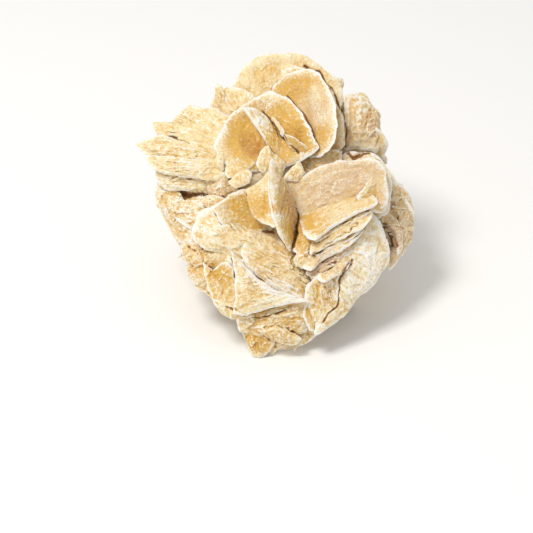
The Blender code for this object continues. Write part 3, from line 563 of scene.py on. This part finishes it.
def face_matrix():
    """Places a point given as right, up and out on the leaning face in the standing rose."""
    sine, cosine = math.sin(FACE_LEAN), math.cos(FACE_LEAN)
    right, up, out = Vector((1, 0, 0)), Vector((0, sine, cosine)), Vector((0, -cosine, sine))
    turn = Matrix((right, up, out)).transposed().to_4x4()
    return Matrix.Translation(FACE_ORIGIN - FOOTPRINT_MIDDLE) @ turn


FACE = face_matrix()
FACE_TURN = FACE.to_3x3()
ONTO_FACE = FACE.inverted()
STANDING = Matrix.Translation(-FOOTPRINT_MIDDLE)


def direction(yaw, pitch):
    """The way a flat looks on the face after turning right by yaw and up by pitch, in degrees."""
    yaw, pitch = math.radians(yaw), math.radians(pitch)
    return Vector(
        (math.sin(yaw) * math.cos(pitch), math.sin(pitch), math.cos(yaw) * math.cos(pitch))
    )


def starting_with(name, table, default):
    """The entry of a table whose key a name starts with."""
    return next((value for key, value in table.items() if name.startswith(key)), default)


def petal_crystal(petal):
    """Lays a petal's outline on its own tilted plane, as seen from in front of the face."""
    normal = direction(petal.yaw, petal.pitch)
    middle_right = sum(right for right, up in petal.outline) / len(petal.outline)
    middle_up = sum(up for right, up in petal.outline) / len(petal.outline)
    rim = []
    for right, up in petal.outline:
        drop = (normal.x * (right - middle_right) + normal.y * (up - middle_up)) / normal.z
        rim.append(FACE @ Vector((right, up, petal.out - drop)))
    root = FACE @ Vector((*starting_with(petal.name, FIBRE_ROOTS, HEART), petal.out))
    bend = FACE_TURN @ Vector((0, 0, petal.cup))
    return Crystal(petal.name, rim, FACE_TURN @ normal, petal.thick, bend, root)


def rosette_crystals(rosette):
    """Petals that open round a rosette's axis, each leaning out by its own angle."""
    draw = random.Random(rosette.name)
    azimuth, elevation = math.radians(rosette.azimuth), math.radians(rosette.elevation)
    axis = Vector(
        (
            math.sin(azimuth) * math.cos(elevation),
            -math.cos(azimuth) * math.cos(elevation),
            math.sin(elevation),
        )
    )
    side = axis.orthogonal().normalized()
    centre = STANDING @ Vector((rosette.x, rosette.y, rosette.z))
    crystals = []
    for number in range(rosette.petals):
        turn = math.tau * (number + draw.uniform(*SPREAD)) / rosette.petals
        outward = Matrix.Rotation(turn, 3, axis) @ side
        opening = math.radians(draw.uniform(*OPENING) if number else EDGE_ON)
        growth = math.cos(opening) * axis + math.sin(opening) * outward
        across = growth.cross(axis).normalized()
        length = rosette.size * draw.uniform(*PETAL_LENGTH)
        width = length * draw.uniform(*PETAL_WIDTH)
        middle = centre + growth * length * PETAL_OUT
        rim = []
        for step in range(ROSETTE_SEGMENTS):
            angle = math.tau * step / ROSETTE_SEGMENTS
            ragged = draw.uniform(*PETAL_RIM)
            rim.append(
                middle
                + growth * length * ragged * math.cos(angle)
                + across * width * ragged * math.sin(angle)
            )
        name = f"{rosette.name}_{number}"
        thick = length * draw.uniform(*PETAL_THICK)
        bend = axis * length * PETAL_CUP
        crystals.append(Crystal(name, rim, across.cross(growth), thick, bend, centre))
    return crystals


def core_crystal(core, place):
    """A sandy middle as one blunt lens, whose rim lies across its smallest half size."""
    turn = place.to_3x3()
    halves = [(core.wide, turn.col[0]), (core.deep, turn.col[1]), (core.high, turn.col[2])]
    halves.sort(key=lambda half: half[0])
    thick, normal = halves[0]
    middle = place @ Vector((core.x, core.y, core.z))
    rim = []
    for step in range(CORE_SEGMENTS):
        angle = math.tau * step / CORE_SEGMENTS
        along = halves[2][0] * math.cos(angle) * halves[2][1]
        across = halves[1][0] * math.sin(angle) * halves[1][1]
        rim.append(middle + along + across)
    return Crystal(core.name, rim, normal, thick, Vector(), middle)


def rim_point(rim, turns):
    """A point on the smooth closed curve through the rim's points, for turns from 0 to 1."""
    place = turns % 1 * len(rim)
    index = int(place)
    t = place - index
    before, start, end, after = (rim[(index + step) % len(rim)] for step in (-1, 0, 1, 2))
    curve = 0.5 * (
        2 * start
        + (end - before) * t
        + (2 * before - 5 * start + 4 * end - after) * t**2
        + (3 * start - before - 3 * end + after) * t**3
    )
    return curve.lerp(start.lerp(end, t), ANGULAR)


def rough(place, period):
    """Smooth noise from -1 to 1 with bumps about one period apart."""
    return noise.noise(place / period)


def terraced(reach, layers, wander):
    """Makes the slope from a petal's middle to its rim fall in steps, as it grew."""
    level = (reach + wander) * layers
    tread = math.floor(level)
    risen = (level - tread) ** 4
    stepped = (tread + risen) / layers
    return min(1.0, max(0.0, reach + TERRACED * (stepped - reach)))


def facet_height(along, across, width, seed):
    """Height of angular facets, each tilted its own way and longer along the fibres."""
    spot = Vector((along / FACET_LENGTHENED, across, 0)) / width + seed
    nearest = noise.voronoi(spot)[1][0]
    tilt = noise.cell_vector(nearest * FACET_SEED)
    away = spot - nearest
    slope = (tilt.x - 0.5) * away.x * 2 + (tilt.y - 0.5) * away.y * 2
    return slope + (tilt.z - 0.5) * FACET_RISE


class Grain:
    """How a crystal's fibres run: from its root outwards, in its own plane."""

    def __init__(self, crystal):
        self.root = crystal.root
        self.normal = crystal.normal
        self.middle = sum(crystal.rim, Vector()) / len(crystal.rim)
        along = self.middle - self.root
        along -= along.dot(self.normal) * self.normal
        self.straight = along.length < 1
        if self.straight:
            along = self.normal.orthogonal()
        self.span = max(along.length, SHORTEST_SPAN)
        self.along = along.normalized()
        self.across = self.normal.cross(self.along)

    def at(self, place):
        """How far out along the fibres a place is, and how far across them, both in mm."""
        away = place - self.root
        out, side = away.dot(self.along), away.dot(self.across)
        if self.straight:
            return out, side
        return math.hypot(out, side), math.atan2(side, out) * self.span

    def way(self, place):
        """The direction in which the fibres run at a place."""
        if self.straight:
            return self.along
        away = place - self.root
        away -= away.dot(self.normal) * self.normal
        return away.normalized() if away.length > 1 else self.along


def float_layers(bm):
    """The layers that keep a crystal's finish on its points."""
    return [bm.verts.layers.float.new(name) for name in FINISH_LAYERS]


def fibre_height(out, side, seed):
    """How high the ribs of the fibres stand at a place, from -1 to 1."""
    rib = noise.noise(Vector((side / FIBRE_SPACING, out / FIBRE_LENGTH, seed)))
    fine = FINE_FIBRES / FIBRE_SPACING
    fine_rib = noise.noise(Vector((side * fine, out * 2 / FIBRE_LENGTH, seed + 9)))
    return FIBRE_CROWN - abs(rib) * FIBRE_GROOVE - abs(fine_rib) * FIBRE_GROOVE


def fine_crystal(crystal, step, fullness):
    """One crystal as a closed lens with relief, which keeps how its surface is finished."""
    finish = starting_with(crystal.name, FINISHES, DEFAULT_FINISH)
    seed = Vector([random.Random(crystal.name).uniform(0, 100)] * 3)
    run = Grain(crystal)
    middle = run.middle
    rim = [rim_point(crystal.rim, number / RIM_SAMPLES) for number in range(RIM_SAMPLES)]
    around = sum((place - rim[number - 1]).length for number, place in enumerate(rim))
    across = sum((place - middle).length for place in rim) / RIM_SAMPLES
    segments = max(FEWEST_AROUND, round(around / step))
    rings = 2 * max(FEWEST_ACROSS, round(across / step))
    facet_width = min(FACET_WIDTH, FACET_SHARE * across)
    flattened = starting_with(crystal.name, FLATTENED, None)
    thick = crystal.thick * starting_with(crystal.name, THINNED, THINNED_ELSEWHERE)
    clefts = clefts_near(middle, max((place - middle).length for place in rim))
    bm = bmesh.new()
    bmesh.ops.create_uvsphere(bm, u_segments=segments, v_segments=rings, radius=1)
    frost, honey, dusk, hill, cleft, grown = float_layers(bm)
    for vert in bm.verts:
        x, y, z = vert.co
        reach = math.acos(min(1.0, abs(z))) / (math.pi / 2)
        edge = rim_point(crystal.rim, math.atan2(y, x) / math.tau)
        spoke = edge - middle
        ragged = RAGGED * rough(edge, RAGGED_PERIOD) - CHIPPED * abs(rough(edge, CHIPPED_PERIOD))
        spoke += spoke.normalized() * ragged * reach**3
        bend = crystal.bend
        if flattened:
            low, high = flattened
            up = (ONTO_FACE @ edge).y
            bend = bend * min(1.0, max(0.0, (up - low) / (high - low)))
        place = middle + reach * spoke + reach**2 * bend
        wander = TERRACE_WANDER * rough(place, TERRACE_PERIOD)
        level = terraced(reach, finish.layers, wander)
        swell = thick * max(0.0, 1 - level**2) ** fullness
        swell += EDGE_THICK * math.sqrt(max(0.0, 1 - reach**8))
        out, side = run.at(place)
        relief = FIBRE_HEIGHT * (finish.fibres * fibre_height(out, side, seed.x))
        facet = facet_height(out, side, facet_width, seed)
        relief += finish.facets * facet * facet_width * FACET_SLOPE
        lumps = rough(place, LUMPS_PERIOD)
        grains = abs(rough(place, GRAINS_PERIOD))
        grains += FINE_GRAINS * abs(rough(place, FINE_GRAINS_PERIOD))
        relief += LUMPS * lumps + finish.facets * GRAINS * (0.5 - grains)
        here = ONTO_FACE @ place
        sideways, upwards = CLEFT_WANDER
        wavy = here + Vector((sideways * lumps, upwards * rough(place, CLEFT_PERIOD), 0))
        torn = cleft_at(wavy, clefts) if z > 0 else 0
        height = swell + relief * (1 - reach**6) - torn
        place += math.copysign(1, z) * height * crystal.normal
        vert.co = MM * place
        vert[frost] = RIM_FROST * finish.frost * reach**RIM_FROST_POWER
        vert[honey] = finish.honey * (1 - HONEY_FADE * reach**3)
        vert[dusk] = finish.dusk
        vert[hill] = relief
        vert[cleft] = torn
        vert[grown] = 1
        for spot in SPOTS:
            gone = ((here.x - spot.right) ** 2 + (here.y - spot.up) ** 2) / spot.reach**2
            if gone < 4:
                near = math.exp(-gone)
                vert[honey] += spot.honey * near
                vert[frost] += spot.frost * near
                vert[dusk] += spot.dusk * near
    return outward_mesh(bm, crystal.name)


def outward_mesh(bm, name):
    """Turns the faces outwards where they look inwards, and makes the mesh."""
    if bm.calc_volume(signed=True) < 0:
        bmesh.ops.reverse_faces(bm, faces=bm.faces)
    mesh = bpy.data.meshes.new(name)
    bm.to_mesh(mesh)
    bm.free()
    return mesh


def flakes_on(crystal, fullness):
    """Small thin plates that lie along a crystal's fibres with their outer ends raised."""
    finish = starting_with(crystal.name, FINISHES, DEFAULT_FINISH)
    draw = random.Random(crystal.name + " flakes")
    run = Grain(crystal)
    spokes = [place - run.middle for place in crystal.rim]
    area = sum(
        spokes[number - 1].cross(spokes[number]).length / 2 for number in range(len(spokes))
    )
    meshes = []
    for number in range(round(area / 100 * finish.flakes)):
        edge = rim_point(crystal.rim, draw.random())
        reach = math.sqrt(draw.uniform(*FLAKE_REACH))
        swell = crystal.thick * (1 - reach**2) ** fullness
        place = run.middle + reach * (edge - run.middle) + reach**2 * crystal.bend
        side = 1 if draw.random() < FLAKES_IN_FRONT else -1
        place += side * (swell + EDGE_THICK) * crystal.normal
        along = run.way(place)
        along = Matrix.Rotation(draw.gauss(0, FLAKE_TURN), 3, crystal.normal) @ along
        lift = math.radians(draw.uniform(*FLAKE_LIFT)) * side
        across = crystal.normal.cross(along)
        along = Matrix.Rotation(-lift, 3, across) @ along
        normal = along.cross(across)
        length = draw.uniform(*FLAKE_LENGTH)
        width = length * draw.uniform(*FLAKE_WIDTH)
        thick = draw.uniform(*FLAKE_THICK)
        bm = bmesh.new()
        bmesh.ops.create_uvsphere(
            bm, u_segments=FLAKE_SEGMENTS, v_segments=FLAKE_RINGS, radius=1
        )
        frost, honey, dusk, *_, grown = float_layers(bm)
        chips = [draw.uniform(*FLAKE_CHIPS) for segment in range(FLAKE_SEGMENTS)]
        for vert in bm.verts:
            x, y, z = vert.co
            turns = math.atan2(y, x) / math.tau
            chip = chips[round(turns * FLAKE_SEGMENTS) % FLAKE_SEGMENTS]
            at = place + length * chip * x * along + width * chip * y * across
            vert.co = MM * (at + thick * z * normal)
            vert[frost] = FLAKE_FROST
            vert[honey] = finish.honey
            vert[dusk] = finish.dusk
            vert[grown] = 1
        meshes.append(outward_mesh(bm, f"{crystal.name}_flake_{number}"))
    return meshes


def add_object(name, mesh, collection):
    obj = bpy.data.objects.new(name, mesh)
    collection.objects.link(obj)
    return obj


def floor_cutter():
    bm = bmesh.new()
    bmesh.ops.create_cube(bm, size=FLOOR_BLOCK * MM)
    below = Matrix.Translation((0, 0, -FLOOR_BLOCK / 2 * MM))
    bmesh.ops.transform(bm, matrix=below, verts=bm.verts)
    mesh = bpy.data.meshes.new("worn_away")
    bm.to_mesh(mesh)
    bm.free()
    return mesh


def intergrow(name, meshes):
    """Unites crystals into one mesh and cuts it flat where the rose has worn and rests."""
    collection = bpy.context.scene.collection
    grown = bpy.data.collections.new("grown_together")
    collection.children.link(grown)
    first = add_object(name, meshes[0], collection)
    parts = [add_object(mesh.name, mesh, grown) for mesh in meshes[1:]]
    union = first.modifiers.new("intergrowth", "BOOLEAN")
    union.operation = "UNION"
    union.operand_type = "COLLECTION"
    union.collection = grown
    union.solver = "MANIFOLD"
    cutter = add_object("worn_away", floor_cutter(), collection)
    wear = first.modifiers.new("worn_flats", "BOOLEAN")
    wear.operation = "DIFFERENCE"
    wear.object = cutter
    wear.solver = "MANIFOLD"
    view = bpy.context.evaluated_depsgraph_get()
    mesh = bpy.data.meshes.new_from_object(first.evaluated_get(view))
    for obj in [first, cutter, *parts]:
        bpy.data.objects.remove(obj)
    bpy.data.collections.remove(grown)
    return mesh


def shells_of(bm):
    """The separate shells of a mesh, each as a set of its faces."""
    waiting = set(bm.faces)
    shells = []
    while waiting:
        front = [waiting.pop()]
        shell = set(front)
        while front:
            for vert in front.pop().verts:
                for face in vert.link_faces:
                    if face in waiting:
                        waiting.remove(face)
                        shell.add(face)
                        front.append(face)
        shells.append(shell)
    return shells


def shell_volume(shell):
    """Six times the volume inside a shell of triangles, negative where its faces look inwards."""
    corners = ([vert.co for vert in face.verts] for face in shell)
    return sum(a.dot(b.cross(c)) for a, b, c in corners)


def finish_seams(bm):
    """Gives the new points where crystals cross the finish of the points beside them."""
    layers = bm.verts.layers.float
    grown = layers["grown"]
    waiting = [vert for vert in bm.verts if not vert[grown]]
    while waiting:
        later = []
        for vert in waiting:
            beside = [edge.other_vert(vert) for edge in vert.link_edges]
            beside = [other for other in beside if other[grown]]
            if not beside:
                later.append(vert)
                continue
            for name in FINISH_LAYERS[:-1]:
                layer = layers[name]
                vert[layer] = sum(other[layer] for other in beside) / len(beside)
            vert[grown] = 1
        if len(later) == len(waiting):
            break
        waiting = later


def mark_crests(bm):
    """Keeps on each point how sharply the surface stands out there, and below 0 how it dips."""
    bm.normal_update()
    crest = bm.verts.layers.float.new("crest")
    bends = {}
    for vert in bm.verts:
        bend = 0.0
        for edge in vert.link_edges:
            away = vert.co - edge.other_vert(vert).co
            bend += away.dot(vert.normal) / (away.length + 1e-9)
        bends[vert] = bend / max(1, len(vert.link_edges))
    for vert in bm.verts:
        beside = [bends[edge.other_vert(vert)] for edge in vert.link_edges]
        vert[crest] = 0.5 * bends[vert] + 0.5 * sum(beside) / max(1, len(beside))


def drop_flaps(bm):
    """Takes away the pairs of faces that lie back to back where crystals only touch."""
    lying = {}
    for face in bm.faces:
        lying.setdefault(frozenset(face.verts), []).append(face)
    flaps = [face for faces in lying.values() if len(faces) == 2 for face in faces]
    bmesh.ops.delete(bm, geom=flaps, context="FACES")


def outer_skin(mesh):
    """Fills the closed hollows between crystals, by taking away the shells that look inwards."""
    bm = bmesh.new()
    bm.from_mesh(mesh)
    bmesh.ops.triangulate(bm, faces=bm.faces)
    drop_flaps(bm)
    for shell in shells_of(bm):
        if shell_volume(shell) < 0:
            bmesh.ops.delete(bm, geom=list(shell), context="FACES")
    finish_seams(bm)
    mark_crests(bm)
    bm.to_mesh(mesh)
    bm.free()


# Edges sharper than this between two faces are drawn sharp.
SHARP = math.radians(48)

# Shade is how hidden a place is between the crystals around it, and crack shade how closed in it
# is, each within its reach in metres; the material paints both as shade, the crack shade as dark
# crevice brown. Both are looked for with rays that start just off the surface and rise at least a
# little from it.
SHADE_REACH = 0.009
CRACK_SHADE_REACH = 0.0028
SHADE_LIFT = 0.0003
SHADE_RAYS = 32
SHADE_FLATTEST = 0.12


def ray_directions():
    """Directions spread evenly over a sphere along a spiral."""
    golden = math.pi * (3 - math.sqrt(5))
    directions = []
    for number in range(SHADE_RAYS):
        height = 1 - 2 * (number + 0.5) / SHADE_RAYS
        ring = math.sqrt(1 - height**2)
        angle = golden * number
        directions.append(Vector((ring * math.cos(angle), ring * math.sin(angle), height)))
    return directions


def tree_of(pieces):
    """One search tree over the faces of all the pieces."""
    places = []
    faces = []
    for piece in pieces:
        start = len(places)
        places += [vert.co.copy() for vert in piece.data.vertices]
        faces += [[start + index for index in face.vertices] for face in piece.data.polygons]
    return BVHTree.FromPolygons(places, faces, all_triangles=True)


def add_shade(pieces):
    """Keeps on each point how much of the view around it the neighbouring crystals block, near and
    farther off, for the shade that the material paints.
    """
    tree = tree_of(pieces)
    directions = ray_directions()
    for piece in pieces:
        shades = []
        crack_shades = []
        for vert in piece.data.vertices:
            start = vert.co + vert.normal * SHADE_LIFT
            looked = 0.0
            blocked = 0.0
            closed = 0.0
            for ray in directions:
                facing = ray.dot(vert.normal)
                if facing < SHADE_FLATTEST:
                    continue
                looked += facing
                distance = tree.ray_cast(start, ray, SHADE_REACH)[3]
                if distance is not None:
                    blocked += facing * (1 - distance / SHADE_REACH)
                    if distance < CRACK_SHADE_REACH:
                        closed += facing
            shades.append(blocked / looked if looked else 1.0)
            crack_shades.append(closed / looked if looked else 1.0)
        for name, values in (("shade", shades), ("crack", crack_shades)):
            layer = piece.data.attributes.new(name, "FLOAT", "POINT")
            layer.data.foreach_set("value", values)


class Shade:
    """A socket of a material's nodes, with the sums that a maker writes on it."""

    def __init__(self, nodes, socket):
        self.nodes = nodes
        self.socket = socket

    def sum_with(self, operation, other):
        return self.nodes.add("ShaderNodeMath", {"operation": operation}, {0: self, 1: other})

    def __add__(self, other):
        return self.sum_with("ADD", other)

    __radd__ = __add__

    def __mul__(self, other):
        return self.sum_with("MULTIPLY", other)

    __rmul__ = __mul__

    def __sub__(self, other):
        return self.sum_with("SUBTRACT", other)

    def __rsub__(self, other):
        return (self * -1) + other

    def between(self, low, high):
        """0 below low and 1 above high, with an even slope from one to the other."""
        limits = {"Value": self, "From Min": low, "From Max": high}
        return self.nodes.add("ShaderNodeMapRange", {"interpolation_type": "SMOOTHSTEP"}, limits)


class Nodes:
    """Adds nodes to a material: a type, its settings, and the values or links of its sockets."""

    def __init__(self, material):
        self.tree = material.node_tree

    def add(self, kind, settings=None, inputs=None, output=0):
        node = self.tree.nodes.new(kind)
        for name, value in (settings or {}).items():
            setattr(node, name, value)
        for name, value in (inputs or {}).items():
            if isinstance(value, Shade):
                self.tree.links.new(value.socket, node.inputs[name])
            else:
                node.inputs[name].default_value = value
        return Shade(self, node.outputs[output])

    def attribute(self, name):
        return self.add("ShaderNodeAttribute", {"attribute_name": name}, output="Fac")

    def mix(self, factor, first, second):
        settings = {"data_type": "RGBA", "clamp_factor": True}
        return self.add("ShaderNodeMix", settings, {0: factor, 6: first, 7: second}, output=2)

    def grit(self, place, scale):
        """Grains like sugar: small cells, each with its own value from 0 to 1."""
        cells = self.add("ShaderNodeTexVoronoi", None, {"Vector": place, "Scale": scale}, "Color")
        return self.add("ShaderNodeSeparateColor", None, {"Color": cells})

    def noise(self, place, scale, detail, rough=0.5):
        inputs = {"Vector": place, "Scale": scale, "Detail": detail, "Roughness": rough}
        return self.add("ShaderNodeTexNoise", inputs=inputs)


# How many patches of clear gypsum, streaks, grains and so on lie along a metre.
PATCHES = 160
STREAKS = 420
GRAIN = 1500
GRIT = 2100
SPARKLE = 3400

CREAM = (0.89, 0.735, 0.425, 1)
WARM = (0.79, 0.555, 0.235, 1)
AMBER = (0.75, 0.46, 0.09, 1)
DEEP_HONEY = (0.58, 0.29, 0.04, 1)
SANDY = (0.74, 0.54, 0.345, 1)
# Painted shade: the dark brown of narrow gaps between crystals and of clefts.
CREVICE_SHADE = (0.32, 0.15, 0.05, 1)
# Frost white, also painted as highlight on rims and crests.
FROST_AND_HIGHLIGHT = (0.98, 0.95, 0.88, 1)


def frosted_gypsum():
    material = bpy.data.materials.new("frosted_gypsum")
    material.use_nodes = True
    nodes = Nodes(material)
    shader = material.node_tree.nodes["Principled BSDF"]
    place = nodes.add("ShaderNodeTexCoord", output="Object")
    patches = nodes.noise(place, PATCHES, 3) - 0.5
    grain = nodes.noise(place, GRAIN, 3, 0.6) - 0.5
    sparkle = nodes.noise(place, SPARKLE, 1) - 0.5
    streaks = nodes.noise(place, STREAKS, 2) - 0.5
    grit = nodes.grit(place, GRIT) - 0.5
    shade = nodes.attribute("shade")
    frost = nodes.attribute("frost")
    honey = nodes.attribute("honey")
    dusk = nodes.attribute("dusk")
    hill = nodes.attribute("hill")
    crest = nodes.attribute("crest")
    # Painted shade in narrow gaps closed in by crystals and in the clefts.
    crack = nodes.attribute("crack") + nodes.attribute("cleft") * 1.2

    # Painted shade: places hidden between crystals, concave seams and low relief are painted
    # warmer, into amber and deep honey, and towards crevice brown.
    painted_shade_dips = shade + crest * -2.2 + hill * -0.7
    warmth = patches * 1.8 + honey * 0.9 + painted_shade_dips * 0.8 + grain * 0.9 - grit * 0.5
    colour = nodes.mix(warmth.between(0.0, 0.75), CREAM, WARM)
    colour = nodes.mix((warmth + honey * 0.5).between(0.8, 1.5), colour, AMBER)
    colour = nodes.mix((warmth + honey * 0.5).between(1.7, 2.9), colour, DEEP_HONEY)
    sandy = dusk + grain * 1.4 + grit * 0.7
    colour = nodes.mix(sandy.between(0.2, 0.9), colour, SANDY)
    # Painted shade: closed-in gaps, clefts and deep dips are painted crevice brown.
    colour = nodes.mix((crack + painted_shade_dips * 0.3).between(0.5, 1.05), colour, CREVICE_SHADE)

    # Frost and painted highlight whiten the rims, crests and high relief, in specks like sugar with
    # painted glints among them; painted shade keeps hidden places less white.
    white = frost + crest * 2.4 + hill * 0.8 + sparkle * 2.8
    white = white + streaks * 0.9 + grit * 0.8 - shade - honey * 0.35
    colour = nodes.mix(white.between(0.2, 0.9), colour, FROST_AND_HIGHLIGHT)
    roughness = 0.62 - honey * 0.2 + grain * 0.3
    height = grain * 0.6 + sparkle * 0.4 + grit * 0.5
    bump_inputs = {"Strength": 0.8, "Distance": 0.0004, "Height": height}
    bump = nodes.add("ShaderNodeBump", inputs=bump_inputs)
    links = material.node_tree.links
    links.new(colour.socket, shader.inputs["Base Color"])
    links.new(roughness.socket, shader.inputs["Roughness"])
    links.new(bump.socket, shader.inputs["Normal"])
    shader.inputs["Subsurface Weight"].default_value = 0.35
    shader.inputs["Subsurface Radius"].default_value = (1.0, 0.6, 0.3)
    shader.inputs["Subsurface Scale"].default_value = 0.0015
    shader.inputs["IOR"].default_value = 1.52
    return material


def pale_floor():
    material = bpy.data.materials.new("pale_floor")
    material.use_nodes = True
    shader = material.node_tree.nodes["Principled BSDF"]
    shader.inputs["Base Color"].default_value = (0.95, 0.95, 0.95, 1)
    shader.inputs["Roughness"].default_value = 0.9
    return material


def grow_pieces():
    """Grows every crystal and unites them into a few pieces, each under its own name."""
    groups = {name: [] for name in [*PIECES, "back_petals"]}

    def group_of(name):
        for piece, starts in PIECES.items():
            if name.startswith(starts):
                return groups[piece]
        return groups["back_petals"]

    def grow(crystal, group, step, fullness):
        group.append(fine_crystal(crystal, step, fullness))
        group.extend(flakes_on(crystal, fullness))

    back = groups["back_petals"]
    for core in CORES:
        grow(core_crystal(core, STANDING), back, CORE_STEP, CORE_FULLNESS)
    for core in FACE_CORES:
        grow(core_crystal(core, FACE), group_of(core.name), CORE_STEP, CORE_FULLNESS)
    for petal in PETALS:
        grow(petal_crystal(petal), group_of(petal.name), FRONT_STEP, PETAL_FULLNESS)
    for rosette in ROSETTES:
        for crystal in rosette_crystals(rosette):
            grow(crystal, back, BACK_STEP, PETAL_FULLNESS)
    gypsum = frosted_gypsum()
    pieces = []
    for name, meshes in groups.items():
        mesh = intergrow(name, meshes)
        outer_skin(mesh)
        mesh.name = name
        mesh.materials.clear()
        mesh.materials.append(gypsum)
        mesh.polygons.foreach_set("material_index", [0] * len(mesh.polygons))
        mesh.shade_smooth()
        mesh.set_sharp_from_angle(angle=SHARP)
        pieces.append(add_object(name, mesh, bpy.context.scene.collection))
    return pieces


def lay_floor():
    bm = bmesh.new()
    bmesh.ops.create_grid(bm, x_segments=1, y_segments=1, size=2)
    mesh = bpy.data.meshes.new("floor")
    bm.to_mesh(mesh)
    bm.free()
    mesh.materials.append(pale_floor())
    floor = add_object("floor", mesh, bpy.context.scene.collection)


# The camera looks square onto the leaning face. The photo is so many pixels wide and high, a pixel
# spans so many mm, and right and up on the face are counted from this column and row.
PHOTO_SIDE = 533
PIXEL = 0.35
FACE_COLUMN = 274
FACE_ROW = 360
LENS = 180
SENSOR = 36
FRAME_SIDE = PHOTO_SIDE * PIXEL
CAMERA_RIGHT = (PHOTO_SIDE / 2 - FACE_COLUMN) * PIXEL
CAMERA_UP = (FACE_ROW - PHOTO_SIDE / 2) * PIXEL


def set_camera():
    data = bpy.data.cameras.new("camera")
    data.lens = LENS
    data.sensor_width = SENSOR
    data.clip_start = 0.05
    data.clip_end = 20
    camera = bpy.data.objects.new("camera", data)
    bpy.context.scene.collection.objects.link(camera)
    place = FACE @ Matrix.Translation((CAMERA_RIGHT, CAMERA_UP, LENS / SENSOR * FRAME_SIDE))
    place.translation *= MM
    camera.matrix_world = place
    bpy.context.scene.camera = camera


# The soft key light: the way to it on the face, and how far from the rose's middle it hangs.
LIGHT_TOWARD = Vector((-0.45, 0.7, 1))
LIGHT_DISTANCE = 0.9
ROSE_MIDDLE = Vector((0, 0, 0.04))


def hang_key_light():
    """A square soft light that shines from the upper left of the face."""
    data = bpy.data.lights.new("key_light", "AREA")
    data.shape = "SQUARE"
    data.size = 0.25
    data.energy = 5
    data.color = (1, 0.97, 0.92)
    light = bpy.data.objects.new("key_light", data)
    away = (FACE_TURN @ LIGHT_TOWARD).normalized()
    turn = away.to_track_quat("Z", "Y").to_matrix().to_4x4()
    light.matrix_world = Matrix.Translation(ROSE_MIDDLE + away * LIGHT_DISTANCE) @ turn
    bpy.context.scene.collection.objects.link(light)


def set_light():
    world = bpy.data.worlds.new("studio")
    bpy.context.scene.world = world
    world.use_nodes = True
    background = world.node_tree.nodes["Background"]
    background.inputs["Color"].default_value = (1, 0.99, 0.97, 1)
    background.inputs["Strength"].default_value = 0.62
    hang_key_light()
    bpy.context.scene.view_settings.view_transform = "Standard"


rose_pieces = grow_pieces()
add_shade(rose_pieces)
for piece in rose_pieces:
    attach(piece, "root")
    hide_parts("sand_rose")
lay_floor()
set_light()
set_camera()
